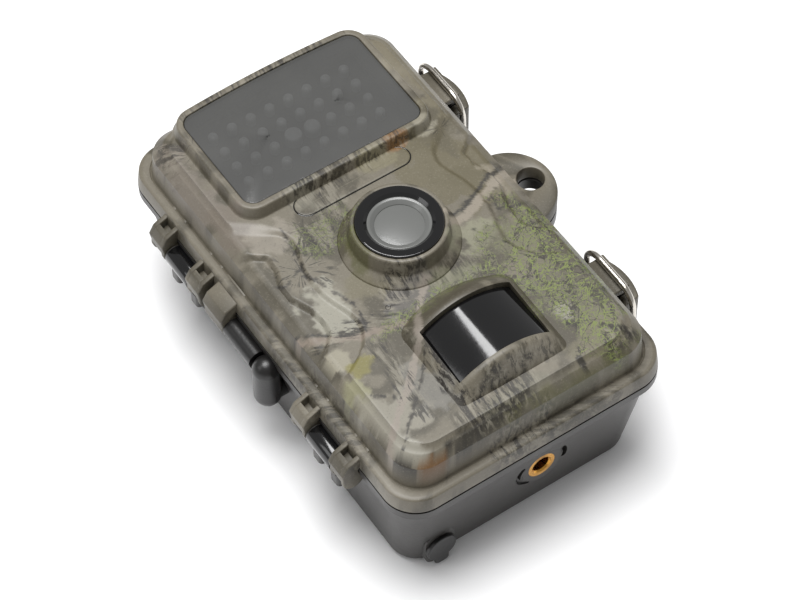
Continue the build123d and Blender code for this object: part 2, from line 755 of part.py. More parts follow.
# ---------------------------------------------------------------- front cover
with BuildPart() as front_cover:
    with BuildSketch(Plane.XY.offset(cover_z)):
        RectangleRounded(2 * body_half_width, 2 * body_half_length, body_corner)
    extrude(amount=flange_height, taper=flange_draft)
    fillet(front_cover.faces().sort_by(Axis.Z)[-1].edges(), flange_edge)
    with BuildSketch(Plane.XY.offset(flange_top)):
        RectangleRounded(2 * dome_half_x, 2 * dome_half_y, body_corner - 1.0)
    extrude(amount=dome_height, taper=dome_draft)
    fillet(front_cover.faces().sort_by(Axis.Z)[-1].edges(), dome_edge)

    # Waist recesses either side of the lens.
    for side in (-1, 1):
        with BuildSketch(Plane.XY.offset(dome_top)):
            with BuildLine():
                FilletPolyline(
                    (side * (dome_half_x + 2), 20.0),
                    (side * 30.6, 13.2),
                    (side * 33.6, 2.0),
                    (side * 30.6, -9.0),
                    (side * 31.6, -17.0),
                    (side * (dome_half_x + 2), -22.5),
                    radius=[0, 2.2, 3.0, 3.0, 2.2, 0],
                    close=True,
                )
            make_face()
        extrude(amount=-recess_depth, mode=Mode.SUBTRACT)

    # Plateau that carries the lens, pinched above and below it.
    with BuildSketch(Plane.XY.offset(dome_top)):
        with BuildLine():
            right_edge = Spline((30.0, 23.5), (24.2, 14.0), (26.8, 2.0), (27.0, -5.0), (23.9, -18.0), (28.0, -29.0))
            Line(right_edge @ 1, (-28.0, -29.0))
            left_edge = Spline(
                (-28.0, -29.0), (-23.9, -18.0), (-27.0, -5.0), (-26.8, 2.0), (-24.2, 14.0), (-30.0, 23.5)
            )
            Line(left_edge @ 1, right_edge @ 0)
        make_face()
    extrude(amount=plateau_height)

    # Window frame.
    with BuildSketch(Plane.XY.offset(dome_top)):
        with Locations((0, window_y)):
            RectangleRounded(
                2 * (window_half_x + frame_width), 2 * (window_half_y + frame_width), window_corner + frame_width
            )
    extrude(amount=frame_height, taper=4)
    fillet(front_cover.faces().sort_by(Axis.Z)[-1].edges(), 0.8)

    # Lens turret on its stepped base.
    with BuildSketch(Plane.XY.offset(dome_top)):
        with Locations((0, lens_y)):
            Circle(turret_base_radius)
    extrude(amount=turret_base_height, taper=20)
    with BuildSketch(Plane.XY.offset(dome_top)):
        with Locations((0, lens_y)):
            Circle(turret_radius + 0.5)
    extrude(amount=turret_height, taper=3)
    fillet(front_cover.faces().sort_by(Axis.Z)[-1].edges(), 0.9)

    # Hood: an arch along Y, trimmed by sloping ends.
    with BuildPart(mode=Mode.PRIVATE) as hood_arch:
        with BuildSketch(Plane.XZ.offset(-hood_y - hood_half_y)):
            with Locations((0, hood_centre_z)):
                Circle(hood_arch_radius)
            with Locations((0, dome_top + hood_height / 2)):
                Rectangle(2 * hood_half_x, hood_height + 2.0, mode=Mode.INTERSECT)
        extrude(amount=2 * hood_half_y)
        with BuildSketch(Plane.YZ.offset(-hood_half_x)):
            with BuildLine():
                Polyline(
                    (hood_y - hood_half_y, dome_top - 1.0),
                    (hood_y - hood_half_y + hood_slope_bottom, hood_top + 0.5),
                    (hood_y + hood_half_y - hood_slope_top, hood_top + 0.5),
                    (hood_y + hood_half_y, dome_top - 1.0),
                    close=True,
                )
            make_face()
        extrude(amount=2 * hood_half_x, mode=Mode.INTERSECT)
    add(hood_arch.part)

    # Hinge knuckles, hollow from above, and the solid block at the cable sleeve.
    for place, width, hollow in [(y, knuckle_width, True) for y in all_knuckles] + [
        (cable_block_y, cable_block_width, False)
    ]:
        with BuildSketch(along_y(place - width / 2)):
            with BuildLine():
                FilletPolyline(
                    (-hinge_x - 5.2, flange_top),
                    (-hinge_x - 2.2, flange_top),
                    (-hinge_x + 2.0, flange_top - 2.8),
                    (-hinge_x + 3.2, hinge_z + 3.0),
                    (-hinge_x + 3.2, hinge_z),
                    (-hinge_x, hinge_z),
                    (-hinge_x - 1.1, hinge_z + 3.0),
                    (-hinge_x - 1.1, cover_z + 0.3),
                    (-hinge_x - 5.2, cover_z + 0.3),
                    radius=[0, 0.8, 1.5, 1.2, 0, 0, 0.5, 0, 0],
                    close=True,
                )
            make_face()
            with Locations((-hinge_x, hinge_z)):
                Circle(hinge_radius)
        extrude(amount=width)
        if hollow:
            with BuildSketch(along_y(place - width / 2 + knuckle_wall)):
                with BuildLine():
                    Polyline(
                        (-hinge_x - 1.0, flange_top + 1.0),
                        (-hinge_x + 0.6, flange_top - 1.5),
                        (-hinge_x + 1.7, hinge_z + 3.2),
                        (-hinge_x - 0.6, hinge_z + 3.2),
                        (-hinge_x - 1.0, cover_z + 1.0),
                        close=True,
                    )
                make_face()
            extrude(amount=width - 2 * knuckle_wall, mode=Mode.SUBTRACT)

    # Front leaf of the padlock ear, and the catches for the bails.
    with BuildSketch(Plane.XY.offset(cover_z + ear_leaf_gap)):
        with Locations((ear_centre_x, ear_y)):
            Circle(ear_radius)
    extrude(amount=front_ear_thickness)
    catch_top = bail_bar_z - catch_top_below_bar
    for _, latch_y in latch_places:
        with BuildSketch(along_y(latch_y - catch_half_width)):
            with BuildLine():
                Polyline(
                    (-body_half_width + 1.5, catch_top - catch_thickness),
                    (-body_half_width - catch_out + 1.0, catch_top - catch_thickness),
                    (-body_half_width - catch_out, catch_top - catch_thickness + 1.0),
                    (-body_half_width - catch_out, catch_top + catch_lip),
                    (-body_half_width - catch_out + catch_lip_width, catch_top + catch_lip),
                    (-body_half_width - catch_out + catch_lip_width, catch_top),
                    (-body_half_width + 1.5, catch_top),
                    close=True,
                )
            make_face()
        extrude(amount=2 * catch_half_width)

    # Interior, then bosses and posts that hold the panel and the board.
    with BuildSketch(Plane.XY.offset(cover_z)):
        RectangleRounded(2 * cover_cavity_half_x, 2 * cover_cavity_half_y, body_corner - 1.0 - dome_wall)
    extrude(amount=roof_inner - cover_z, mode=Mode.SUBTRACT)
    with BuildSketch(Plane.XY.offset(panel_top)):
        with Locations(*panel_bosses):
            Circle(boss_radius)
            Circle(screw_radius, mode=Mode.SUBTRACT)
    extrude(amount=roof_inner - panel_top)
    with BuildSketch(Plane.XY.offset(main_board_top)):
        with Locations(*board_posts):
            Circle(post_radius)
            Circle(screw_radius, mode=Mode.SUBTRACT)
    extrude(amount=roof_inner - main_board_top)

    # Bore of the hinge, of the cable sleeve and of the padlock ear.
    for side in (-1, 1):
        with BuildSketch(along_y(side * barrel_centre - pin_half_length - 1.0)):
            with Locations((-hinge_x, hinge_z)):
                Circle(hinge_pin_radius + running_clearance)
        extrude(amount=2 * pin_half_length + 2.0, mode=Mode.SUBTRACT)
    with BuildSketch(along_y(cable_block_y - cable_block_width / 2)):
        with Locations((-hinge_x, hinge_z)):
            Circle(hinge_radius - 0.2 + running_clearance)
    extrude(amount=sleeve_insert + 0.3, mode=Mode.SUBTRACT)
    with BuildSketch(Plane.XY.offset(cover_z)):
        with Locations((ear_hole_x, ear_y)):
            Circle(ear_hole_radius)
    extrude(amount=2 * front_ear_thickness, mode=Mode.SUBTRACT)

    # Window opening with the seats of the pane and of the black mask.
    with BuildSketch(Plane.XY.offset(mask_bottom)):
        with Locations((0, window_y)):
            RectangleRounded(2 * window_half_x, 2 * window_half_y, window_corner)
    extrude(amount=frame_top - mask_bottom, mode=Mode.SUBTRACT)
    with BuildSketch(Plane.XY.offset(roof_inner)):
        with Locations((0, window_y)):
            RectangleRounded(2 * (window_half_x - 1.5), 2 * (window_half_y - 1.5), 2.0)
    extrude(amount=frame_top - roof_inner, mode=Mode.SUBTRACT)

    # Turret bore, hood opening, microphone hole and the seat of the badge plate.
    with BuildSketch(Plane.XY.offset(lens_window_bottom)):
        with Locations((0, lens_y)):
            Circle(lens_ring_radius + 0.05)
    extrude(amount=turret_height, mode=Mode.SUBTRACT)
    with BuildSketch(Plane.XY.offset(roof_inner)):
        with Locations((0, lens_y)):
            Circle(lens_ring_bore)
    extrude(amount=turret_top - roof_inner, mode=Mode.SUBTRACT)
    with BuildSketch(Plane.XY.offset(roof_inner)):
        with Locations((0, hood_y)):
            Rectangle(2 * pir_half_x, 2 * pir_half_y)
    extrude(amount=hood_top - roof_inner, mode=Mode.SUBTRACT)
    with BuildSketch(Plane.XY.offset(roof_inner)):
        with Locations((microphone_x, microphone_y)):
            Circle(microphone_hole)
    extrude(amount=plateau_top - roof_inner, mode=Mode.SUBTRACT)
    badge_top_y = window_y - window_half_y - frame_width - 0.3
    with BuildSketch(Plane.XY.offset(plateau_top)):
        with Locations((0.6, badge_top_y - badge_height / 2)):
            RectangleRounded(2 * badge_half_x, badge_height, badge_corner - 0.3)
    extrude(amount=-badge_depth, mode=Mode.SUBTRACT)
save(front_cover, "front_cover")

plate(
    "badge_plate",
    badge_half_x - badge_seam,
    badge_height / 2 - badge_seam,
    badge_corner - 0.3 - badge_seam,
    plateau_top - badge_depth,
    badge_depth,
    (0.6, badge_top_y - badge_height / 2),
)

# ---------------------------------------------------------------- lamp window
plate(
    "lamp_window",
    window_half_x - pane_clearance,
    window_half_y - pane_clearance,
    window_corner - pane_clearance,
    pane_bottom,
    pane_thickness,
    (0, window_y),
)

with BuildPart() as window_mask:
    with BuildSketch(Plane.XY.offset(mask_bottom)):
        with Locations((0, window_y)):
            RectangleRounded(
                2 * (window_half_x - pane_clearance),
                2 * (window_half_y - pane_clearance),
                window_corner - pane_clearance,
            )
            RectangleRounded(
                2 * (window_half_x - mask_border), 2 * (window_half_y - mask_border), 1.0, mode=Mode.SUBTRACT
            )
    extrude(amount=mask_thickness)
save(window_mask, "window_mask")

plate(
    "lamp_board",
    lamp_board_half_x,
    lamp_board_half_y,
    1.5,
    roof_inner - board_thickness,
    board_thickness,
    (0, window_y + 0.4),
)

sensor_column = 3
sensor_row = 1
lamp_places = [
    (
        lamp_offset_x + lamp_pitch * (column - (lamp_columns - 1) / 2),
        lamp_y + lamp_pitch * (row - (lamp_rows - 1) / 2),
    )
    for column in range(lamp_columns)
    for row in range(lamp_rows)
    if row != sensor_row or column not in (sensor_column, sensor_column + 1)
]
with BuildPart() as lamps:
    with BuildSketch(Plane.XY.offset(roof_inner)):
        with Locations(*lamp_places):
            Circle(lamp_radius)
    extrude(amount=lamp_height)
    fillet(lamps.faces().group_by(Axis.Z)[-1].edges(), lamp_radius * 0.75)
save(lamps, "infrared_lamps")

sensor_y = lamp_y + lamp_pitch * (sensor_row - (lamp_rows - 1) / 2)
sensor_x = lamp_offset_x + lamp_pitch * (sensor_column - (lamp_columns - 1) / 2)
disc("indicator_lens", 2.5, roof_inner, 3.6, (sensor_x, sensor_y), 0.6)
disc("light_sensor", 2.4, roof_inner, 3.4, (sensor_x + lamp_pitch, sensor_y), 1.2)

# ---------------------------------------------------------------- lens
with BuildPart() as lens_ring:
    with BuildSketch(Plane.XY.offset(lens_ring_bottom)):
        with Locations((0, lens_y)):
            Circle(lens_ring_radius)
            Circle(lens_ring_bore, mode=Mode.SUBTRACT)
    extrude(amount=lens_ring_thickness)
    ring_edges = lens_ring.faces().sort_by(Axis.Z)[-1].edges().sort_by(SortBy.RADIUS)
    fillet(ring_edges[-1], 0.4)
    chamfer(ring_edges[0], 0.8)
save(lens_ring, "lens_ring")

disc("lens_window", lens_ring_radius, lens_window_bottom, lens_window_thickness, (0, lens_y))

holder_top = roof_inner - 0.4
filter_z = main_board_top + 2.0
filter_slot_start = filter_x - filter_half_x - filter_clearance
with BuildPart() as lens_barrel:
    with BuildSketch(Plane.XY.offset(filter_z + 1.2)):
        with Locations((0, lens_y)):
            Circle(barrel_radius)
    extrude(amount=lens_window_bottom - filter_z - 2.0)
    with BuildSketch(Plane.XY.offset(holder_top + 1.0)):
        with Locations((0, lens_y)):
            Circle(barrel_head_radius)
    extrude(amount=lens_window_bottom - holder_top - 1.8)
    with Locations((0, lens_y, lens_window_bottom + 5.5)):
        Sphere(7.5, mode=Mode.SUBTRACT)
save(lens_barrel, "lens_barrel")

with BuildPart() as lens_holder:
    with BuildSketch(Plane.XY.offset(main_board_top)):
        with Locations((0, lens_y)):
            RectangleRounded(2 * holder_half, 2 * holder_half, 1.0)
    extrude(amount=holder_top - main_board_top)
    with BuildSketch(Plane.XY.offset(main_board_top)):
        with Locations((0, lens_y)):
            Circle(barrel_radius)
    extrude(amount=holder_top - main_board_top, mode=Mode.SUBTRACT)
    with BuildSketch(Plane.XY.offset(filter_z)):
        with Locations(((filter_slot_start + holder_half) / 2, lens_y)):
            Rectangle(holder_half - filter_slot_start, 2 * (filter_half_y + filter_clearance))
    extrude(amount=filter_thickness + 2 * filter_clearance, mode=Mode.SUBTRACT)
save(lens_holder, "lens_holder")

plate("image_sensor", 3.8, 3.8, 0.4, main_board_top, 1.2, (0, lens_y))
plate(
    "ir_cut_filter",
    filter_half_x,
    filter_half_y,
    0.4,
    filter_z + filter_clearance,
    filter_thickness,
    (filter_x, lens_y),
)

# ---------------------------------------------------------------- motion sensor
pir_outer = hood_arch_radius - pir_recess
with BuildPart() as pir_lens:
    with BuildSketch(Plane.XZ.offset(-hood_y - pir_half_y + pir_clearance)):
        with Locations((0, hood_centre_z)):
            Circle(pir_outer)
        with Locations((0, (roof_inner + hood_top) / 2)):
            Rectangle(2 * (pir_half_x - pir_clearance), hood_top - roof_inner, mode=Mode.INTERSECT)
    extrude(amount=2 * (pir_half_y - pir_clearance))
    with BuildSketch(Plane.XY.offset(roof_inner - 1.2)):
        with Locations((0, hood_y)):
            Rectangle(2 * (pir_half_x + pir_flange), 2 * (pir_half_y + pir_flange))
    extrude(amount=1.2)
    with BuildSketch(Plane.XZ.offset(-hood_y - pir_half_y + pir_wall)):
        with Locations((0, hood_centre_z)):
            Circle(pir_outer - pir_wall)
        with Locations((0, (roof_inner + hood_top) / 2 - 2.0)):
            Rectangle(2 * (pir_half_x - pir_wall), hood_top - roof_inner, mode=Mode.INTERSECT)
    extrude(amount=2 * (pir_half_y - pir_wall), mode=Mode.SUBTRACT)
save(pir_lens, "motion_lens")

disc("motion_sensor", pir_sensor_radius, main_board_top, 5.0, (0, hood_y), 0.6)

# ---------------------------------------------------------------- electronics in the cover
with BuildPart() as main_board:
    with BuildSketch(Plane.XY.offset(main_board_bottom)):
        with Locations((0, main_board_y)):
            RectangleRounded(2 * main_board_half_x, 2 * main_board_half_y, 2.0)
        with Locations(*board_posts):
            Circle(screw_radius, mode=Mode.SUBTRACT)
    extrude(amount=board_thickness)
save(main_board, "main_board")

with BuildPart() as board_screws:
    with BuildSketch(Plane.XY.offset(main_board_bottom)):
        with Locations(*board_posts):
            Circle(screw_radius)
    extrude(amount=board_thickness + 4.0)
    with BuildSketch(Plane.XY.offset(main_board_bottom)):
        with Locations(*board_posts):
            Circle(screw_head_radius)
    extrude(amount=-screw_head_height)
save(board_screws, "board_screws")

card_bottom = main_board_bottom - card_slot_wall - 0.1 - card_thickness
with BuildPart() as inner_panel:
    with BuildSketch(Plane.XY.offset(panel_bottom)):
        RectangleRounded(
            2 * (cover_cavity_half_x - panel_clearance),
            2 * (cover_cavity_half_y - panel_clearance),
            body_corner - 1.0 - dome_wall - panel_clearance,
        )
        with Locations((0, lcd_y)):
            Rectangle(2 * lcd_view_half_x, 2 * lcd_view_half_y, mode=Mode.SUBTRACT)
        with Locations(*key_places.values()):
            Circle(key_radius + key_clearance, mode=Mode.SUBTRACT)
        with Locations((switch_x, key_centre_y)):
            SlotOverall(
                2 * (switch_throw + knob_half_y) + 1.2, 2 * knob_half_x + 0.6, rotation=90, mode=Mode.SUBTRACT
            )
        with Locations((card_x, card_front_y - 2.2)):
            RectangleRounded(card_width + 3.0, 9.0, 1.5, mode=Mode.SUBTRACT)
        with Locations((usb_x, usb_y)):
            RectangleRounded(2 * usb_half_x + 1.0, 2 * usb_half_y + 1.0, 0.8, mode=Mode.SUBTRACT)
        with Locations((speaker_x, speaker_y)):
            with GridLocations(3.4, 3.4, 3, 3):
                Circle(0.7, mode=Mode.SUBTRACT)
        with Locations(*panel_bosses):
            Circle(screw_radius, mode=Mode.SUBTRACT)
    extrude(amount=panel_thickness)
    with BuildSketch(Plane.XY.offset(panel_bottom)):
        with Locations((0, lcd_y)):
            RectangleRounded(2 * lcd_pane_half_x, 2 * lcd_pane_half_y, 1.5)
        with Locations(*panel_bosses):
            Circle(screw_head_radius + 0.2)
    extrude(amount=screw_head_height, mode=Mode.SUBTRACT)
save(inner_panel, "inner_panel")

with BuildPart() as panel_screws:
    with BuildSketch(Plane.XY.offset(panel_bottom + screw_head_height)):
        with Locations(*panel_bosses):
            Circle(screw_head_radius)
    extrude(amount=-(screw_head_height - 0.1))
    with BuildSketch(Plane.XY.offset(panel_bottom + screw_head_height)):
        with Locations(*panel_bosses):
            Circle(screw_radius)
    extrude(amount=panel_thickness + 5.0)
save(panel_screws, "panel_screws")

plate("display", lcd_half_x, lcd_half_y, 1.0, panel_top, lcd_thickness, (0, lcd_y))
plate(
    "display_window",
    lcd_pane_half_x - 0.1,
    lcd_pane_half_y - 0.1,
    1.4,
    panel_bottom + screw_head_height - lcd_pane_thickness,
    lcd_pane_thickness,
    (0, lcd_y),
)

for key_name, place in key_places.items():
    with BuildPart() as key:
        with BuildSketch(Plane.XY.offset(panel_bottom - key_proud)):
            with Locations(place):
                Circle(key_radius)
        extrude(amount=panel_thickness + key_proud)
        fillet(key.faces().sort_by(Axis.Z)[0].edges(), 0.6)
        with BuildSketch(Plane.XY.offset(panel_top)):
            with Locations(place):
                Circle(key_radius + key_flange)
        extrude(amount=0.8)
        with BuildSketch(Plane.XY.offset(panel_top)):
            with Locations(place):
                Circle(1.2)
        extrude(amount=lcd_thickness - key_travel - 0.1)
    save(key, key_name)

with BuildPart() as switch_body:
    with BuildSketch(Plane.XY.offset(panel_top)):
        with Locations((switch_x, key_centre_y)):
            Rectangle(2 * switch_half_x, 2 * switch_half_y)
            Rectangle(
                2 * knob_half_x + 0.6, 2 * (switch_throw + knob_half_y) + 0.6, mode=Mode.SUBTRACT
            )
    extrude(amount=main_board_bottom - panel_top)
save(switch_body, "mode_switch_body")

with BuildPart() as switch_knob:
    with BuildSketch(Plane.XY.offset(panel_bottom - key_proud)):
        with Locations((switch_x, key_centre_y)):
            RectangleRounded(2 * knob_half_x, 2 * knob_half_y, 0.5)
    extrude(amount=panel_thickness + key_proud + lcd_thickness - 0.3)
save(switch_knob, "mode_switch_knob")

card_slot_length = card_length - 1.0
card_slot_y = card_front_y + 1.5 + card_slot_length / 2
with BuildPart() as card_slot:
    slot_height = main_board_bottom - card_bottom + card_slot_wall + 0.1
    with BuildSketch(Plane.XY.offset(card_bottom - card_slot_wall - 0.1)):
        with Locations((card_x, card_slot_y)):
            Rectangle(card_width + 0.2 + 2 * card_slot_wall, card_slot_length)
    extrude(amount=slot_height)
    with BuildSketch(Plane.XY.offset(card_bottom - 0.1)):
        with Locations((card_x, card_slot_y - card_slot_wall)):
            Rectangle(card_width + 0.2, card_slot_length)
    extrude(amount=card_thickness + 0.2, mode=Mode.SUBTRACT)
save(card_slot, "card_slot")

plate(
    "memory_card",
    card_width / 2,
    card_length / 2 - 0.6,
    0.7,
    card_bottom,
    card_thickness,
    (card_x, card_front_y + card_length / 2 - 0.6),
)
plate("usb_port", usb_half_x, usb_half_y, 0.8, panel_top, lcd_thickness, (usb_x, usb_y))

with BuildPart() as speaker:
    with BuildSketch(Plane.XY.offset(panel_top)):
        with Locations((speaker_x, speaker_y)):
            Circle(speaker_radius)
    extrude(amount=speaker_thickness)
    with BuildSketch(Plane.XY.offset(panel_top)):
        with Locations((speaker_x, speaker_y)):
            Circle(speaker_radius - 2.0)
    extrude(amount=0.8, mode=Mode.SUBTRACT)
save(speaker, "speaker")

disc("microphone", microphone_radius, roof_inner - 1.8, 1.8, (microphone_x, microphone_y))
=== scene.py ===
"""Trail camera lying on its back: the visual model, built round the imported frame."""

import json
import logging
import math
from dataclasses import dataclass, field
from enum import Enum

import bmesh
import bpy
import numpy as np
from mathutils import Matrix, Vector


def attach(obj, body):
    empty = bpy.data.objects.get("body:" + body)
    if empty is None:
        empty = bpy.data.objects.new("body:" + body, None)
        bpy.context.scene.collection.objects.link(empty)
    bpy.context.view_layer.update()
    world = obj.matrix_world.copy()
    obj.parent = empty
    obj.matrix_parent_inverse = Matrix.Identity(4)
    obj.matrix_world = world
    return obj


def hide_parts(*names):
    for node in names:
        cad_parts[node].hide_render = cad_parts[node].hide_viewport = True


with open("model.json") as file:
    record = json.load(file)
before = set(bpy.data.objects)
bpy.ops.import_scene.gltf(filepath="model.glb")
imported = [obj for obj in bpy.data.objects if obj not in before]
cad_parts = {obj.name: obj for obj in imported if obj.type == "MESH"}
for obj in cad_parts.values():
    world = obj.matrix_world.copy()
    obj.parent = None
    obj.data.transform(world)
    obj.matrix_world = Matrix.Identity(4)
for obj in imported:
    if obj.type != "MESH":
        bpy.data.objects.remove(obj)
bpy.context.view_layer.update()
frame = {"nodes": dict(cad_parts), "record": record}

MM = 0.001
LOG = logging.getLogger("trail_camera")
Socket = bpy.types.NodeSocket
Colour = tuple[float, float, float]


# ------------------------------------------------------------------ small tools
def shade(code: str) -> Colour:
    """Turn an sRGB hex code into a linear colour.

    Args:
        code: six hex digits.

    Returns:
        Linear red, green and blue.
    """
    levels = [int(code[i:i + 2], 16) / 255 for i in (0, 2, 4)]
    return tuple(v / 12.92 if v <= 0.04045 else ((v + 0.055) / 1.055) ** 2.4 for v in levels)


def ease(value: np.ndarray) -> np.ndarray:
    """Smooth step: 3t^2 - 2t^3 on the value clipped to 0..1.

    Args:
        value: any array.

    Returns:
        The eased array.
    """
    t = np.clip(value, 0.0, 1.0)
    return t * t * (3 - 2 * t)


def rounded_path(corners: list[tuple[float, float, float]], steps: int = 5) -> np.ndarray:
    """Polyline whose corners are circular arcs tangent to both runs.

    Args:
        corners: (u, v, radius) of each corner; a radius of 0 leaves it sharp.
        steps: points on each arc.

    Returns:
        Array of (u, v) points; the two ends are kept as they are.
    """
    points = np.array([c[:2] for c in corners], float)
    out = [points[0]]
    for i in range(1, len(corners) - 1):
        before = points[i - 1] - points[i]
        after = points[i + 1] - points[i]
        len_b, len_a = np.linalg.norm(before), np.linalg.norm(after)
        before, after = before / len_b, after / len_a
        half = math.acos(float(np.clip(before @ after, -1, 1))) / 2
        radius = min(corners[i][2], 0.48 * min(len_b, len_a) * math.tan(half))
        if radius < 1e-6 or half > 1.55:
            out.append(points[i])
            continue
        middle = (before + after) / np.linalg.norm(before + after)
        centre = points[i] + middle * radius / math.sin(half)
        start = points[i] + before * radius / math.tan(half) - centre
        end = points[i] + after * radius / math.tan(half) - centre
        turn = math.atan2(start[0] * end[1] - start[1] * end[0], float(start @ end))
        angles = np.linspace(0, turn, steps)
        arc = np.stack([start[0] * np.cos(angles) - start[1] * np.sin(angles),
                        start[0] * np.sin(angles) + start[1] * np.cos(angles)], -1)
        out.extend(centre + arc)
    out.append(points[-1])
    return np.array(out)


def rounded_rectangle(half_x: np.ndarray, half_y: np.ndarray, radius: np.ndarray,
                      side_x: int, side_y: int, arc: int) -> np.ndarray:
    """Rings of rounded rectangles that share one count of points, anticlockwise from +X.

    Each ring is four straight runs, sampled evenly, joined by four quarter circles.

    Args:
        half_x: half width of each ring.
        half_y: half length of each ring.
        radius: corner radius of each ring.
        side_x: points on each run along X.
        side_y: points on each run along Y.
        arc: points on each quarter circle.

    Returns:
        Array (rings, points, 2).
    """
    hx, hy, r = (np.atleast_1d(np.asarray(v, float))[:, None] for v in (half_x, half_y, radius))
    flat_x, flat_y = hx - r, hy - r
    run_y = np.linspace(-1, 1, side_y, endpoint=False)[None]
    run_x = np.linspace(-1, 1, side_x, endpoint=False)[None]
    bow = np.linspace(0, math.pi / 2, arc, endpoint=False)[None]
    xs, ys = [], []
    for quarter in range(4):
        if quarter % 2 == 0:
            sign = 1 - quarter
            xs.append(sign * hx + 0 * run_y)
            ys.append(sign * flat_y * run_y)
        else:
            sign = 2 - quarter
            xs.append(-sign * flat_x * run_x)
            ys.append(sign * hy + 0 * run_x)
        corner_x = flat_x * (1 if quarter in (0, 3) else -1)
        corner_y = flat_y * (1 if quarter in (0, 1) else -1)
        angle = bow + quarter * math.pi / 2
        xs.append(corner_x + r * np.cos(angle))
        ys.append(corner_y + r * np.sin(angle))
    return np.stack([np.concatenate(xs, 1), np.concatenate(ys, 1)], -1)


class Seam(Enum):
    """How the rows of a grid end."""

    OPEN = "open"
    LOOP = "loop"
    CAPPED = "capped"


def make_object(name: str, mesh: bpy.types.Mesh, smooth_angle: float = 40.0) -> bpy.types.Object:
    """Link a mesh as an object at the origin, with smooth shading below an angle.

    Args:
        name: the piece's name.
        mesh: its mesh.
        smooth_angle: edges sharper than this many degrees stay sharp.

    Returns:
        The object.
    """
    piece = bpy.data.objects.new(name, mesh)
    bpy.context.scene.collection.objects.link(piece)
    mesh.shade_smooth()
    mesh.set_sharp_from_angle(angle=math.radians(smooth_angle))
    return piece


def surface(name: str, points: np.ndarray, rows: Seam = Seam.OPEN, wrap: bool = True,
            smooth_angle: float = 40.0, merge: float = 1e-3) -> bpy.types.Object:
    """Mesh of a grid of points: quads join each row to the next.

    Args:
        name: the piece's name.
        points: array (rows, columns, 3) in millimetres.
        rows: LOOP joins the last row to the first, CAPPED fills the first and last rows.
        wrap: join the last column to the first.
        smooth_angle: edges sharper than this stay sharp.
        merge: points nearer than this, in millimetres, become one.

    Returns:
        The object, with its faces outward.
    """
    count_r, count_c = points.shape[:2]
    index = np.arange(count_r * count_c).reshape(count_r, count_c)
    if rows is Seam.LOOP:
        index = np.concatenate([index, index[:1]], 0)
    if wrap:
        index = np.concatenate([index, index[:, :1]], 1)
    quads = np.stack([index[:-1, :-1], index[:-1, 1:], index[1:, 1:], index[1:, :-1]], -1).reshape(-1, 4)
    mesh = bpy.data.meshes.new(name)
    mesh.vertices.add(count_r * count_c)
    mesh.vertices.foreach_set("co", (points.reshape(-1, 3) * MM).ravel())
    mesh.loops.add(quads.size)
    mesh.loops.foreach_set("vertex_index", quads.ravel())
    mesh.polygons.add(len(quads))
    mesh.polygons.foreach_set("loop_start", np.arange(len(quads)) * 4)
    mesh.update(calc_edges=True)
    work = bmesh.new()
    work.from_mesh(mesh)
    bmesh.ops.remove_doubles(work, verts=work.verts, dist=merge * MM)
    if rows is Seam.CAPPED:
        edges = [e for e in work.edges if e.is_boundary]
        bmesh.ops.holes_fill(work, edges=edges, sides=0)
    bmesh.ops.recalc_face_normals(work, faces=work.faces)
    work.to_mesh(mesh)
    work.free()
    return make_object(name, mesh, smooth_angle)


def join(name: str, pieces: list[bpy.types.Object], smooth_angle: float = 40.0) -> bpy.types.Object:
    """Put several closed meshes in one object.

    Args:
        name: the new piece's name.
        pieces: objects at the origin, which are removed.
        smooth_angle: edges sharper than this stay sharp.

    Returns:
        The joined object.
    """
    work = bmesh.new()
    for piece in pieces:
        work.from_mesh(piece.data)
    mesh = bpy.data.meshes.new(name)
    work.to_mesh(mesh)
    work.free()
    for piece in pieces:
        bpy.data.objects.remove(piece)
    return make_object(name, mesh, smooth_angle)


def revolve(name: str, profile: np.ndarray, centre: tuple[float, float], steps: int = 96,
            rows: Seam = Seam.LOOP) -> bpy.types.Object:
    """Turn a profile of (radius, z) about a vertical axis.

    Args:
        name: the piece's name.
        profile: array (points, 2).
        centre: x and y of the axis.
        steps: segments round the axis.
        rows: LOOP for a closed profile.

    Returns:
        The object.
    """
    angle = np.linspace(0, 2 * math.pi, steps, endpoint=False)
    radius, height = profile[:, :1], profile[:, 1:]
    points = np.stack([centre[0] + radius * np.cos(angle), centre[1] + radius * np.sin(angle),
                       height + 0 * angle], -1)
    return surface(name, points, rows)


def prism(name: str, outline: np.ndarray, low_y: float, high_y: float,
          edge: float = 0.35) -> bpy.types.Object:
    """Closed prism along Y from an outline of (x, z), its end edges eased by an inset.

    The rows are the outline shrunk by the edge radius at each end and full between them.

    Args:
        name: the piece's name.
        outline: array (points, 2), in order round the outline.
        low_y: start along Y.
        high_y: end along Y.
        edge: size of the eased edges.

    Returns:
        The object.
    """
    nxt, prv = np.roll(outline, -1, 0), np.roll(outline, 1, 0)
    tangent = nxt - prv
    tangent /= np.maximum(np.linalg.norm(tangent, axis=1, keepdims=True), 1e-9)
    normal = np.stack([tangent[:, 1], -tangent[:, 0]], -1)
    area = np.sum(outline[:, 0] * nxt[:, 1] - nxt[:, 0] * outline[:, 1])
    inward = -normal if area > 0 else normal
    angles = np.linspace(0, math.pi / 2, 4)
    insets = np.concatenate([edge * (1 - np.sin(angles)), edge * (1 - np.sin(angles[::-1]))])
    places = np.concatenate([low_y + edge * (1 - np.cos(angles)), high_y - edge * (1 - np.cos(angles[::-1]))])
    rows = outline[None] + inward[None] * insets[:, None, None]
    ys = np.broadcast_to(places[:, None], rows.shape[:2])
    return surface(name, np.stack([rows[..., 0], ys, rows[..., 1]], -1), Seam.CAPPED, smooth_angle=35)


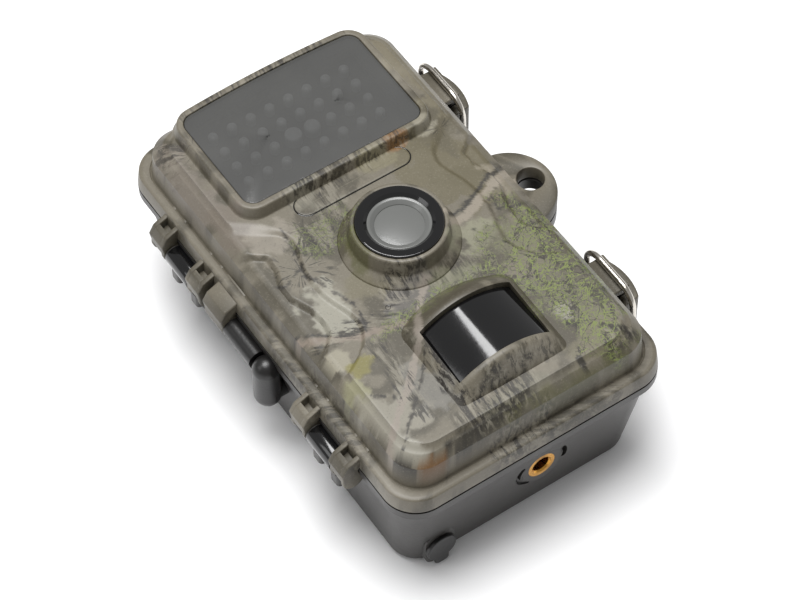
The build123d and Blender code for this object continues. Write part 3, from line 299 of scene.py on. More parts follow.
# ------------------------------------------------------------------ node graphs
class Graph:
    """Thin layer over a node tree: nodes are added with their values in one call."""

    def __init__(self, tree: bpy.types.NodeTree) -> None:
        """Wrap a tree."""
        self.tree = tree

    def add(self, kind: str, inputs: dict | None = None, **settings: object) -> bpy.types.Node:
        """Add a node.

        Args:
            kind: the node's type after the word ShaderNode, or a full name.
            inputs: socket name or number to a value or to a socket to link from.
            settings: properties of the node.

        Returns:
            The node.
        """
        full = kind if kind.startswith("Node") else "ShaderNode" + kind
        node = self.tree.nodes.new(full)
        for key, value in settings.items():
            setattr(node, key, value)
        for key, value in (inputs or {}).items():
            self.put(node.inputs[key], value)
        return node

    def put(self, socket: Socket, value: object) -> None:
        """Link a socket from another one, or set its value."""
        if isinstance(value, Socket):
            self.tree.links.new(value, socket)
        elif isinstance(value, tuple) and len(value) == 3 and socket.type == "RGBA":
            socket.default_value = (*value, 1.0)
        else:
            socket.default_value = value

    def math(self, operation: str, a: object, b: object = 0.0, c: object = 0.0,
             clamp: bool = False) -> Socket:
        """Add a Math node and return its value."""
        return self.add("Math", {0: a, 1: b, 2: c}, operation=operation, use_clamp=clamp).outputs[0]

    def vector(self, operation: str, a: object, b: object = (0, 0, 0)) -> Socket:
        """Add a Vector Math node and return its vector."""
        return self.add("VectorMath", {0: a, 1: b}, operation=operation).outputs[0]

    def mix(self, factor: object, a: object, b: object, blend: str = "MIX") -> Socket:
        """Mix two colours and return the result."""
        node = self.add("Mix", data_type="RGBA", blend_type=blend)
        self.put(node.inputs[0], factor)
        self.put(node.inputs[6], a)
        self.put(node.inputs[7], b)
        return node.outputs[2]

    def step(self, value: object, low: float, high: float) -> Socket:
        """Smooth 0 to 1 step of a value between two levels."""
        node = self.add("MapRange", {0: value, 1: low, 2: high}, interpolation_type="SMOOTHSTEP")
        return node.outputs[0]

    def noise(self, place: object, scale: float, detail: float = 3.0, rough: float = 0.55,
              distort: float = 0.0) -> Socket:
        """Noise of a given scale at a place, from 0 to 1."""
        node = self.add("TexNoise", {"Vector": place, "Scale": scale, "Detail": detail,
                                     "Roughness": rough, "Distortion": distort})
        return node.outputs[0]

    def turned(self, place: object, degrees: float, stretch: tuple[float, float, float],
               shift: tuple[float, float, float] = (0, 0, 0)) -> Socket:
        """Place turned about Z, then stretched along each axis."""
        spun = self.add("Mapping", {"Vector": place, "Rotation": (0, 0, math.radians(degrees)),
                                    "Location": shift})
        return self.vector("MULTIPLY", spun.outputs[0], stretch)

    def group(self, tree: bpy.types.NodeTree, inputs: dict) -> bpy.types.Node:
        """Place a shared group."""
        node = self.add("Group", node_tree=tree)
        for key, value in inputs.items():
            self.put(node.inputs[key], value)
        return node


def new_group(name: str, inputs: list[tuple[str, str, object]],
              outputs: list[tuple[str, str]]) -> tuple[Graph, bpy.types.Node, bpy.types.Node]:
    """Start a shared node group.

    Args:
        name: the group's name.
        inputs: (name, socket type, default) of each input.
        outputs: (name, socket type) of each output.

    Returns:
        Its graph, its input node and its output node.
    """
    tree = bpy.data.node_groups.new(name, "ShaderNodeTree")
    for title, kind, default in inputs:
        socket = tree.interface.new_socket(title, in_out="INPUT", socket_type="NodeSocket" + kind)
        if default is not None:
            socket.default_value = default
    for title, kind in outputs:
        tree.interface.new_socket(title, in_out="OUTPUT", socket_type="NodeSocket" + kind)
    graph = Graph(tree)
    return graph, graph.add("NodeGroupInput"), graph.add("NodeGroupOutput")


def grain_group() -> bpy.types.NodeTree:
    """Moulded or cast grain: two sizes of noise as a bump, and a slow change of gloss.

    Returns:
        A group with inputs Scale and Depth and outputs Normal, Gloss and Tint.
    """
    graph, inp, out = new_group("Moulded grain", [("Scale", "Float", 2000.0), ("Depth", "Float", 0.2)],
                                [("Normal", "Vector"), ("Gloss", "Float"), ("Tint", "Float")])
    place = graph.add("TexCoord").outputs["Object"]
    fine = graph.add("TexNoise", {"Vector": place, "Scale": inp.outputs["Scale"], "Detail": 2.0}).outputs[0]
    coarse = graph.noise(place, 160.0, 3.0)
    height = graph.math("MULTIPLY_ADD", coarse, 0.35, fine)
    bump = graph.add("Bump", {"Strength": inp.outputs["Depth"], "Distance": 0.0002, "Height": height})
    graph.put(out.inputs["Normal"], bump.outputs[0])
    graph.put(out.inputs["Gloss"], graph.math("SUBTRACT", graph.noise(place, 45.0, 4.0), 0.5))
    graph.put(out.inputs["Tint"], graph.noise(place, 28.0, 5.0, 0.6))
    return out.id_data


def streak_group() -> bpy.types.NodeTree:
    """Fine streaks along one direction, for turned, drawn and brushed metal.

    Returns:
        A group with inputs Stretch and Depth and outputs Normal and Streak.
    """
    stretch = ("Stretch", "Vector", (4000, 200, 4000))
    graph, inp, out = new_group("Fine streaks", [stretch, ("Depth", "Float", 0.1)],
                                [("Normal", "Vector"), ("Streak", "Float")])
    place = graph.add("TexCoord").outputs["Object"]
    stretched = graph.vector("MULTIPLY", place, inp.outputs["Stretch"])
    lines = graph.noise(stretched, 1.0, 2.0)
    bump = graph.add("Bump", {"Strength": inp.outputs["Depth"], "Distance": 0.0001, "Height": lines})
    graph.put(out.inputs["Normal"], bump.outputs[0])
    graph.put(out.inputs["Streak"], lines)
    return out.id_data


@dataclass(frozen=True)
class Patch:
    """One soft area of colour in the camouflage, in millimetres."""

    x: float
    y: float
    size_x: float
    size_y: float
    colour: str
    strength: float = 0.85
    edge: float = 0.35


@dataclass(frozen=True)
class Stroke:
    """One branch or twig in the camouflage: a line through points, in millimetres."""

    points: tuple[tuple[float, float], ...]
    width: float
    colour: str
    strength: float = 0.9
    soft: float = 0.4


class Ink(Enum):
    """The kinds of fine printing, by their place in the zones attribute."""

    BARK = 0
    CROSS_BARK = 1
    TWIGS = 2
    NEEDLES = 3


@dataclass(frozen=True)
class Zone:
    """One ragged area of fine printing."""

    ink: Ink
    x: float
    y: float
    size_x: float
    size_y: float
    strength: float = 0.85


def mottle(u: np.ndarray, v: np.ndarray, scale: float, octaves: int, seed: int) -> np.ndarray:
    """Value noise: random levels on a square lattice, eased between its points, halved per octave.

    Args:
        u: first coordinate.
        v: second coordinate.
        scale: lattice points to the millimetre.
        octaves: how many sizes are added.
        seed: seed of the lattice.

    Returns:
        Values from 0 to 1, 0.5 on average.
    """
    lattice = np.random.default_rng(seed).random((256, 256))
    total, weight = np.zeros_like(u), 0.0
    for octave in range(octaves):
        place_u = u * scale * 2 ** octave + 97.3 + 31 * octave
        place_v = v * scale * 2 ** octave + 53.9 + 17 * octave
        cell_u, cell_v = np.floor(place_u).astype(int), np.floor(place_v).astype(int)
        share_u, share_v = ease(place_u - cell_u), ease(place_v - cell_v)
        low = (lattice[cell_u % 256, cell_v % 256] * (1 - share_u)
               + lattice[(cell_u + 1) % 256, cell_v % 256] * share_u)
        high = (lattice[cell_u % 256, (cell_v + 1) % 256] * (1 - share_u)
                + lattice[(cell_u + 1) % 256, (cell_v + 1) % 256] * share_u)
        total += (low * (1 - share_v) + high * share_v) * 0.6 ** octave
        weight += 0.6 ** octave
    return np.clip((total / weight - 0.5) * 1.6 + 0.5, 0, 1)


@dataclass(frozen=True)
class Camouflage:
    """The printed film: patches and branches laid on the points of a piece, fine ink by its material."""

    base_light: str = "7f7868"
    base_dark: str = "5a5445"
    ink: str = "211d17"
    lime: str = "68723a"
    patches: tuple[Patch, ...] = (
        Patch(25, 9, 15, 19, "71694f"),
        Patch(31, 24, 8, 10, "655e4a", 0.8),
        Patch(36, 45, 7, 20, "857d66", 0.8),
        Patch(37, -1, 7, 7, "a39a88", 0.7),
        Patch(18, -14, 9, 5, "99977f", 0.9),
        Patch(27, -21, 11, 9, "79765f", 0.8),
        Patch(27, -42, 13, 14, "777361", 0.8),
        Patch(36, -33, 8, 16, "5a5445", 0.8),
        Patch(23, -47, 3.5, 3.0, "a09d8e", 0.9, 0.3),
        Patch(-37, 44, 7, 22, "857c70", 0.85),
        Patch(-35, 25, 7, 9, "7d7366", 0.85),
        Patch(-27, 16, 8, 7, "a1998b", 0.7),
        Patch(-28, -12, 7, 11, "a9a697", 0.9, 0.3),
        Patch(-17, -12, 7, 7, "7d765f", 0.85),
        Patch(-8, -21, 9, 5, "6c6863", 0.85),
        Patch(5, -22, 7, 4, "84836a", 0.85),
        Patch(-35, -26, 6, 4.5, "a8a28e", 0.9, 0.3),
        Patch(-31, -33, 5, 4, "8c8546", 0.85, 0.3),
        Patch(-37, -38, 5, 6, "a3a07d", 0.8),
        Patch(-33, -50, 9, 10, "9f9a8b", 0.9),
        Patch(-20, -46, 6, 10, "85827a", 0.8),
        Patch(-14, 21, 6, 5, "7e7a6b", 0.8),
        Patch(9, 22, 7, 4, "8b8468", 0.8),
        Patch(17, 24, 4, 2.4, "8a6437", 0.9, 0.3),
        Patch(27, 24, 4, 3, "a59f8c", 0.8, 0.3),
        Patch(0, -62, 14, 3, "7f7b69", 0.7),
        Patch(24, -60, 14, 5, "7f7962", 0.8),
        Patch(10, -67, 26, 4, "5c5938", 0.85),
        Patch(-20, -66, 13, 4, "2f2b22", 0.85),
        Patch(-36, -60, 6, 7, "a8a496", 0.9, 0.3),
        Patch(-33, -67, 5.5, 3.5, "7a5323", 0.9, 0.4),
        Patch(-13, -3, 4, 8, "5c5a31", 0.8, 0.4),
    )
    zones: tuple[Zone, ...] = (
        Zone(Ink.BARK, -8, 22, 15, 7), Zone(Ink.BARK, -17, 11, 9, 9, 0.7), Zone(Ink.BARK, -9, -16, 9, 5),
        Zone(Ink.BARK, 6, -20, 9, 4, 0.5), Zone(Ink.BARK, -25, -41, 4.5, 15),
        Zone(Ink.BARK, -15.5, -43, 2.8, 15, 1.0), Zone(Ink.BARK, -9, -60, 15, 7, 0.9),
        Zone(Ink.BARK, 8, -56, 12, 3, 0.8), Zone(Ink.BARK, -8, -74, 20, 8, 0.85),
        Zone(Ink.BARK, 0, 64, 45, 6, 0.75), Zone(Ink.BARK, 36, -50, 6, 10, 0.6),
        Zone(Ink.BARK, 0, 24, 32, 2.4, 0.7), Zone(Ink.BARK, 32, -62, 6, 5, 0.7),
        Zone(Ink.CROSS_BARK, -26, -21, 16, 4, 0.9), Zone(Ink.CROSS_BARK, -50, -30, 7, 45, 0.6),
        Zone(Ink.CROSS_BARK, 12, -80, 40, 8, 0.5), Zone(Ink.CROSS_BARK, -36, 56, 6, 9, 0.7),
        Zone(Ink.TWIGS, 28, -38, 17, 28, 1.0), Zone(Ink.TWIGS, 34, -18, 9, 16, 0.9),
        Zone(Ink.TWIGS, -16, 8, 10, 10, 0.5), Zone(Ink.TWIGS, -2, -26, 22, 4, 0.7),
        Zone(Ink.NEEDLES, -27, 3, 12, 12, 0.9), Zone(Ink.NEEDLES, -30, 52, 7, 9, 0.8),
        Zone(Ink.NEEDLES, -19, 14, 8, 7, 0.8), Zone(Ink.NEEDLES, 31, 22, 5, 4, 0.7),
    )
    strokes: tuple[Stroke, ...] = (
        Stroke(((14, -5.2), (20, -5.0), (26, -2.2), (31, 0.8), (38, 2.8), (48, 7)), 0.75, "2f2b24"),
        Stroke(((13, -8.0), (20, -7.2), (27, -4.2), (33, -1.4), (39, 0.8), (50, 3.5)), 1.5, "a59b8b"),
        Stroke(((29.5, -3.5), (28.4, -9.5), (37, -11)), 0.45, "2f2b24"),
        Stroke(((-43, -14), (-36, -17.5), (-31, -21), (-24, -24.5), (-14, -27)), 1.4, "9b8c7e", 0.7),
        Stroke(((-43, -12), (-35, -16), (-31, -20), (-24, -23)), 0.6, "1f1b15"),
        Stroke(((-43, -61), (-33, -51), (-24, -44), (-15, -35), (-9, -26), (-2, -19)), 1.2, "a0968a"),
        Stroke(((-40, -63), (-30, -53), (-21, -45), (-14, -37)), 0.5, "2f2a22"),
        Stroke(((-44, -36), (-34, -41), (-28, -46)), 0.35, "2f2a22"),
        Stroke(((-22, -14), (-22, -19), (-24, -24)), 0.5, "1f1b15"),
        Stroke(((17.3, -62), (17.6, -65)), 1.3, "24201a"),
        Stroke(((28, -57), (32, -60), (36, -65)), 1.2, "2b261e"),
        Stroke(((21, -51), (23, -53)), 0.9, "2b261e"),
        Stroke(((-40, -62), (-38, -70)), 1.5, "2b261e"),
        Stroke(((-24, 17), (-25, 8), (-27, 1), (-24, -8), (-22, -14)), 0.6, "231f19", 0.85),
        Stroke(((-25, 8), (-19, 3)), 0.35, "231f19", 0.8),
        Stroke(((-26, 4), (-33, 1), (-37, 4)), 0.4, "231f19", 0.8),
        Stroke(((18, -12), (24, -22), (26, -30)), 0.35, "28241b", 0.85),
        Stroke(((24, -22), (31, -17), (38, -19)), 0.35, "28241b", 0.85),
        Stroke(((36, -14), (31, -26), (30, -40), (25, -50)), 0.5, "28241b", 0.85),
        Stroke(((30, -34), (38, -41), (42, -50)), 0.4, "28241b", 0.85),
        Stroke(((31, -26), (22, -32), (19, -38)), 0.4, "28241b", 0.85),
    )

    density: float = 0.6
    fans: tuple[tuple[float, float, float], ...] = (
        (-27, 3, 7.0), (-30, 52, 8.0), (-19, 14, 6.0), (31, 22, 5.0))

    def lay(self, piece: bpy.types.Object) -> None:
        """Write the film and its zones on a piece's points.

        A point's place is its x and y, spread outward as it drops below the top, so the
        pattern runs on down the walls. A patch is a step of 1.55 minus the scaled distance
        shaken by noise; a branch is a step of its half width minus the distance to it.

        Args:
            piece: an object at the origin.
        """
        count = len(piece.data.vertices)
        points = np.empty(count * 3)
        piece.data.vertices.foreach_get("co", points)
        points = points.reshape(-1, 3) / MM
        spread = 1 + np.maximum(54 - points[:, 2], 0) / 60
        u, v = points[:, 0] * spread, points[:, 1] * (1 + (spread - 1) * 0.7)
        shake, fray = mottle(u, v, 0.2, 5, 3), mottle(u, v, 0.9, 3, 5)
        tone = ease((mottle(u, v, 0.09, 5, 7) - 0.4) / 0.2)[:, None]
        colour = np.array(shade(self.base_dark)) * (1 - tone) + np.array(shade(self.base_light)) * tone
        for patch in self.patches:
            far = np.hypot((u - patch.x) / patch.size_x, (v - patch.y) / patch.size_y) + 1.1 * shake
            mask = (ease((1.55 - far) / patch.edge) * patch.strength)[:, None]
            colour = colour * (1 - mask) + np.array(shade(patch.colour)) * mask
        for stroke in self.strokes:
            far = np.full(count, 1e3)
            for start, end in zip(np.array(stroke.points[:-1], float), np.array(stroke.points[1:], float)):
                run = end - start
                share = np.clip(((u - start[0]) * run[0] + (v - start[1]) * run[1]) / (run @ run), 0, 1)
                far = np.minimum(far, np.hypot(u - start[0] - share * run[0], v - start[1] - share * run[1]))
            inside = stroke.width - far - (fray - 0.5) * 1.2
            mask = (ease(inside / stroke.soft) * stroke.strength)[:, None]
            colour = colour * (1 - mask) + np.array(shade(stroke.colour)) * mask
        zones = np.zeros((count, 4))
        for zone in self.zones:
            far = np.hypot((u - zone.x) / zone.size_x, (v - zone.y) / zone.size_y) + 1.1 * shake
            level = ease((1.55 - far) / 0.5) * zone.strength
            zones[:, zone.ink.value] = np.maximum(zones[:, zone.ink.value], level)
        colour = colour * self.density
        film = piece.data.color_attributes.new("film", "FLOAT_COLOR", "POINT")
        film.data.foreach_set("color", np.concatenate([colour, np.ones((count, 1))], 1).ravel())
        masks = piece.data.color_attributes.new("zones", "FLOAT_COLOR", "POINT")
        masks.data.foreach_set("color", zones.ravel())

    def group(self) -> bpy.types.NodeTree:
        """Build the shared group that prints the fine ink.

        Returns:
            A group with inputs Film, Zones and Needles, and output Color.
        """
        graph, inp, out = new_group("Camouflage ink", [("Film", "Color", None), ("Zones", "Color", None),
                                                       ("Needles", "Float", 0.0)], [("Color", "Color")])
        metres = graph.add("TexCoord").outputs["Object"]
        place = graph.vector("MULTIPLY", metres, (1000, 1000, 1000))
        zones = graph.add("SeparateColor", {0: inp.outputs["Zones"]})
        colour = inp.outputs["Film"]
        for area, turn, pitch in ((zones.outputs[0], 4, 1.0), (zones.outputs[1], -58, 0.9)):
            spun = graph.turned(place, turn, (0.62 * pitch, 0.10 * pitch, 0.3 * pitch), (turn, 7, 0))
            lines = graph.noise(spun, 1.0, 5.0, 0.68, 0.5)
            pale = graph.math("MULTIPLY", graph.step(lines, 0.50, 0.40), area)
            colour = graph.mix(graph.math("MULTIPLY", pale, 0.7), colour, shade("807b6e"))
            dark = graph.math("MULTIPLY", graph.step(lines, 0.515, 0.565), area)
            colour = graph.mix(dark, colour, shade(self.ink))
        colour = self.needles(graph, place, inp.outputs["Needles"], colour)
        colour = self.twigs(graph, place, zones.outputs[2], colour)
        speckle = graph.noise(place, 1.7, 5.0, 0.75)
        dots = graph.math("MULTIPLY", graph.step(speckle, 0.57, 0.66), 0.35)
        colour = graph.mix(dots, colour, shade("3a352b"))
        pale = graph.math("MULTIPLY", graph.step(speckle, 0.44, 0.35), 0.25)
        colour = graph.mix(pale, colour, shade("8f8a7c"))
        graph.put(out.inputs["Color"], colour)
        return out.id_data

    def needles(self, graph: Graph, place: Socket, area: Socket, colour: Socket) -> Socket:
        """Needles in fans: noise along the angle about a centre, nearly even along the radius.

        Args:
            graph: the group's graph.
            place: place in millimetres.
            area: where needles are printed.
            colour: the colour so far.

        Returns:
            The colour with needles over it.
        """
        for centre_x, centre_y, count in self.fans:
            offset = graph.vector("SUBTRACT", place, (centre_x, centre_y, 0.0))
            flat = graph.vector("MULTIPLY", offset, (1, 1, 0))
            parts = graph.add("SeparateXYZ", {0: flat})
            angle = graph.math("ARCTAN2", parts.outputs[1], parts.outputs[0])
            radius = graph.add("VectorMath", {0: flat}, operation="LENGTH").outputs["Value"]
            fan = graph.add("CombineXYZ", {0: graph.math("MULTIPLY", angle, count),
                                           1: graph.math("MULTIPLY", radius, 0.16), 2: float(centre_x)})
            lines = graph.noise(fan.outputs[0], 1.0, 2.5, 0.6, 0.3)
            near = graph.math("MULTIPLY", graph.step(radius, 14.0, 8.0), area)
            ink = graph.math("MULTIPLY", graph.step(lines, 0.56, 0.61), near)
            colour = graph.mix(graph.math("MULTIPLY", ink, 0.85), colour, shade(self.ink))
        return colour

    def twigs(self, graph: Graph, place: Socket, area: Socket, colour: Socket) -> Socket:
        """Thin level lines of stretched noise, dark then lime.

        Args:
            graph: the group's graph.
            place: place in millimetres.
            area: where twigs are printed.
            colour: the colour so far.

        Returns:
            The colour with twigs over it.
        """
        layers = ((56, 0.3, 0.28, "28241b", 0.9), (-48, 0.35, 0.34, "28241b", 0.85),
                  (8, 0.4, 0.22, "28241b", 0.85), (34, 0.4, 0.42, self.lime, 1.0),
                  (-65, 0.4, 0.5, self.lime, 0.9), (80, 0.45, 0.35, self.lime, 0.9))
        for turn, stretch, scale, code, share in layers:
            field = graph.noise(graph.turned(place, turn, (scale, scale * stretch, scale), (turn, 11, 0)),
                                1.0, 2.0, 0.6, 0.6)
            ridge = graph.math("ABSOLUTE", graph.math("SUBTRACT", field, 0.5))
            line = graph.step(ridge, 0.017, 0.006)
            ink = graph.math("MULTIPLY", graph.math("MULTIPLY", line, area), share)
            colour = graph.mix(ink, colour, shade(code))
        return colour


class Groups:
    """The shared node groups, built once."""

    def __init__(self) -> None:
        """Build every group."""
        self.grain = grain_group()
        self.streak = streak_group()
        self.camouflage = Camouflage()
        self.film = self.camouflage.group()


# ------------------------------------------------------------------ finishes
def new_material(name: str) -> tuple[bpy.types.Material, Graph, bpy.types.Node]:
    """Start a material with one Principled shader.

    Args:
        name: the material's name.

    Returns:
        The material, its graph and its shader.
    """
    material = bpy.data.materials.new(name)
    material.use_nodes = True
    graph = Graph(material.node_tree)
    return material, graph, material.node_tree.nodes["Principled BSDF"]


@dataclass(frozen=True)
class Moulded:
    """Moulded plastic or rubber with grain, uneven tint and uneven gloss."""

    name: str
    colour: str
    tint: str
    roughness: float = 0.5
    grain: float = 1800.0
    depth: float = 0.2
    coat: float = 0.0

    def make(self, groups: Groups) -> bpy.types.Material:
        """Build the material."""
        material, graph, shader = new_material(self.name)
        grain = graph.group(groups.grain, {"Scale": self.grain, "Depth": self.depth})
        colour = graph.mix(grain.outputs["Tint"], shade(self.colour), shade(self.tint))
        graph.put(shader.inputs["Base Color"], colour)
        rough = graph.math("MULTIPLY_ADD", grain.outputs["Gloss"], 0.22, self.roughness, clamp=True)
        graph.put(shader.inputs["Roughness"], rough)
        graph.put(shader.inputs["Normal"], grain.outputs["Normal"])
        shader.inputs["Coat Weight"].default_value = self.coat
        shader.inputs["Coat Roughness"].default_value = 0.06
        return material


@dataclass(frozen=True)
class Metal:
    """Drawn, turned or rolled metal with fine streaks."""

    name: str
    colour: str
    dark: str
    roughness: float = 0.25
    stretch: tuple[float, float, float] = (4000.0, 250.0, 4000.0)
    depth: float = 0.12

    def make(self, groups: Groups) -> bpy.types.Material:
        """Build the material."""
        material, graph, shader = new_material(self.name)
        streak = graph.group(groups.streak, {"Stretch": self.stretch, "Depth": self.depth})
        place = graph.add("TexCoord").outputs["Object"]
        tarnish = graph.step(graph.noise(place, 260.0, 4.0), 0.45, 0.8)
        colour = graph.mix(tarnish, shade(self.colour), shade(self.dark))
        graph.put(shader.inputs["Base Color"], colour)
        shader.inputs["Metallic"].default_value = 1.0
        rough = graph.math("MULTIPLY_ADD", streak.outputs["Streak"], 0.18, self.roughness - 0.09, clamp=True)
        graph.put(shader.inputs["Roughness"], rough)
        graph.put(shader.inputs["Normal"], streak.outputs["Normal"])
        return material


@dataclass(frozen=True)
class Clear:
    """Clear or smoked plastic, glass or resin."""

    name: str
    colour: str
    tint: str
    roughness: float = 0.04
    transmission: float = 1.0
    alpha: float = 1.0
    ior: float = 1.46

    def make(self, groups: Groups) -> bpy.types.Material:
        """Build the material."""
        material, graph, shader = new_material(self.name)
        place = graph.add("TexCoord").outputs["Object"]
        haze = graph.noise(place, 60.0, 4.0)
        graph.put(shader.inputs["Base Color"], graph.mix(haze, shade(self.colour), shade(self.tint)))
        graph.put(shader.inputs["Roughness"], graph.math("MULTIPLY_ADD", haze, 0.05, self.roughness))
        shader.inputs["Transmission Weight"].default_value = self.transmission
        shader.inputs["IOR"].default_value = self.ior
        shader.inputs["Alpha"].default_value = self.alpha
        return material


@dataclass(frozen=True)
class Printed:
    """Camouflage film over moulded plastic, with a little worn grain."""

    name: str = "camouflage_film"
    roughness: float = 0.5
    wear: str = "c3bdb0"

    def make(self, groups: Groups) -> bpy.types.Material:
        """Build the material."""
        material, graph, shader = new_material(self.name)
        printed = graph.add("Attribute", attribute_name="film")
        zones = graph.add("Attribute", attribute_name="zones")
        film = graph.group(groups.film, {"Film": printed.outputs["Color"], "Zones": zones.outputs["Color"],
                                         "Needles": zones.outputs["Alpha"]})
        grain = graph.group(groups.grain, {"Scale": 1500.0, "Depth": 0.10})
        worn = graph.math("MULTIPLY", graph.step(grain.outputs["Tint"], 0.55, 0.75), 0.12)
        colour = graph.mix(worn, film.outputs["Color"], shade(self.wear))
        graph.put(shader.inputs["Base Color"], colour)
        rough = graph.math("MULTIPLY_ADD", grain.outputs["Gloss"], 0.2, self.roughness, clamp=True)
        graph.put(shader.inputs["Roughness"], rough)
        graph.put(shader.inputs["Normal"], grain.outputs["Normal"])
        shader.inputs["Coat Weight"].default_value = 0.15
        shader.inputs["Coat Roughness"].default_value = 0.35
        return material


class Finishes:
    """Every finish of the camera, made once and handed out by slot name."""

    def __init__(self) -> None:
        """Build the materials."""
        groups = Groups()
        self.camouflage = groups.camouflage
        specs = {
            "camo_plastic": Printed(),
            "badge": Printed("badge_film", 0.45),
            "rear_plastic": Moulded("rear_plastic", "2a2826", "33312e", 0.4, 1500.0, 0.22),
            "black_plastic": Moulded("black_plastic", "070708", "0d0d0e", 0.10, 900.0, 0.02, 0.4),
            "black_matte": Moulded("black_matte", "161616", "1f1f20", 0.38, 2200.0, 0.2),
            "lens_grey": Moulded("lens_grey", "5c5d5b", "666765", 0.3, 900.0, 0.02, 0.15),
            "rubber": Moulded("rubber", "100f0f", "191817", 0.34, 1200.0, 0.2),
            "board": Moulded("board", "0d1512", "14201a", 0.5, 700.0, 0.15),
            "cell_wrap": Moulded("cell_wrap", "1b1c20", "2a2b31", 0.22, 500.0, 0.05, 0.5),
            "grey_plastic": Moulded("grey_plastic", "2c2c30", "35353a", 0.5, 1800.0, 0.3),
            "key_plastic": Moulded("key_plastic", "9a9a97", "a5a5a1", 0.42, 1500.0, 0.15),
            "brass": Metal("brass", "d09a4a", "8f6428", 0.28, (3000.0, 300.0, 3000.0)),
            "stainless": Metal("stainless", "d2cdc4", "a39d92", 0.2, (6000.0, 300.0, 1500.0), 0.05),
            "steel": Metal("steel", "b9b9b7", "8d8d8a", 0.32),
            "nickel": Metal("nickel", "cfcac0", "a29d92", 0.24),
            "smoked_window": Clear("smoked_window", "535352", "636361", 0.16, 0.0, 0.58),
            "clear_window": Clear("clear_window", "e4e8ea", "eef1f2", 0.03),
            "lamp_resin": Clear("lamp_resin", "dcdfe2", "eceef0", 0.12, 0.25),
        }
        self.slots = {slot: spec.make(groups) for slot, spec in specs.items()}

    def dress(self, piece: bpy.types.Object, slot: str) -> None:
        """Give a piece one finish."""
        piece.data.materials.clear()
        piece.data.materials.append(self.slots[slot])


# ------------------------------------------------------------------ the cover
@dataclass
class CoverSkin:
    """The dome and flange of the front cover, as one closed shell.

    Rings of rounded rectangles follow a profile of (inset, height) from the flange's lower
    edge over the dome's wall, and then shrink to the middle line on the top, where the
    height is a function of the place.
    """

    half_x: float = 43.0
    half_y: float = 70.0
    corner: float = 10.0
    seam_z: float = 38.1
    top_z: float = 54.2
    crown: float = 0.2
    plateau: float = 1.0
    recess: float = 1.6
    columns: tuple[int, int, int] = (110, 210, 26)
    top_rings: int = 74
    window: tuple[float, float, float] = (28.5, 17.8, 43.6)
    sensor: tuple[float, float, float] = (14.6, 9.5, -43.5)
    well_z: float = 51.7
    waist_y: tuple[float, ...] = (-36, -31, -27, -23, -20, -16, -12, -8, -3, 3, 8, 12, 16, 22, 30)
    waist_x: tuple[float, ...] = (44, 33, 27, 24.4, 23.7, 24.2, 25.5, 26.6, 27, 26.2, 24.6, 23.5, 24.6,
                                  31, 41)
    notch_y: tuple[float, ...] = (-27, -21, -18, -14, -9, -3, 2, 7, 12, 19)
    notch_x: tuple[float, ...] = (41, 34, 31, 30.4, 31, 33.4, 33.4, 31.6, 31.2, 40)

    def heights(self, x: np.ndarray, y: np.ndarray, depth: np.ndarray) -> np.ndarray:
        """Height of the top: a crown, a pinched plateau, side notches and two wells.

        Args:
            x: across.
            y: along.
            depth: distance in from the outline.

        Returns:
            Height at each point.
        """
        line = np.linspace(self.waist_y[0], self.waist_y[-1], 400)
        kernel = np.hanning(31) / np.hanning(31).sum()
        waist = np.convolve(np.pad(np.interp(line, self.waist_y, self.waist_x), 15, "edge"), kernel, "valid")
        across = np.abs(x)
        bevel = 0.9 + 5.5 * ease((y - 14) / 8)
        inside = (np.interp(y, line, waist) - across) / bevel
        raised = ease(inside + 0.5)
        fade = ease((y + 40) / 6) * ease((40 - y) / 4)
        notch_line = np.interp(y, self.notch_y, self.notch_x, left=60, right=60)
        notched = ease((across - notch_line) / 1.1)
        height = self.top_z + self.crown * ease((depth - 7) / 16)
        height = height + self.plateau * (1 - (1 - raised) * fade) * ease((depth - 5.5) / 3)
        height = height - self.recess * notched * ease((depth - 3.5) / 1.0)
        for half_x, half_y, centre in (self.window, self.sensor):
            well = (across < half_x - 0.6) & (np.abs(y - centre) < half_y - 0.6)
            height = np.where(well, self.well_z, height)
        return height

    def build(self) -> bpy.types.Object:
        """Build the shell.

        Returns:
            The object.
        """
        wall = rounded_path([(5.7, 51.0, 0), (5.7, self.seam_z, 0.2), (0.0, self.seam_z, 0.25),
                             (0.5, 42.9, 0.7), (1.4, 43.25, 0.3), (2.9, 43.3, 0.1), (3.15, 42.8, 0.1),
                             (3.45, 43.3, 0.1), (4.05, 50.9, 0.6), (6.3, 53.6, 1.0), (7.6, self.top_z, 0)], 5)
        steps = np.linspace(7.6, self.half_x, self.top_rings)[1:]
        inset = np.concatenate([wall[:, 0], steps])
        corner = np.where(inset < 7.6, self.corner - 0.3 * inset, self.corner - 2.28)
        corner = np.minimum(corner, self.half_x - inset)
        rings = rounded_rectangle(self.half_x - inset, self.half_y - inset, corner, *self.columns)
        depth = np.broadcast_to(inset[:, None], rings.shape[:2])
        top = self.heights(rings[..., 0], rings[..., 1], depth)
        count = len(wall)
        z = top.copy()
        z[:count] = wall[:, 1:2]
        notch_drop = top[:count] - self.top_z
        share = ease((z[:count] - 50.5) / 2.5)
        z[:count] += np.minimum(notch_drop, 0) * share
        points = np.concatenate([rings, z[..., None]], -1)
        roof = np.concatenate([rings[-1:], np.full(rings[-1:].shape[:2] + (1,), 51.0)], -1)
        inner = rounded_rectangle(np.array([self.half_x - 5.7]), np.array([self.half_y - 5.7]),
                                  np.array([self.corner - 0.3 * 5.7]), *self.columns)
        first = np.concatenate([inner, np.full(inner.shape[:2] + (1,), 51.0)], -1)
        points = np.concatenate([roof, first, points[1:]], 0)
        return surface("cover_shell", points, Seam.OPEN, smooth_angle=50)


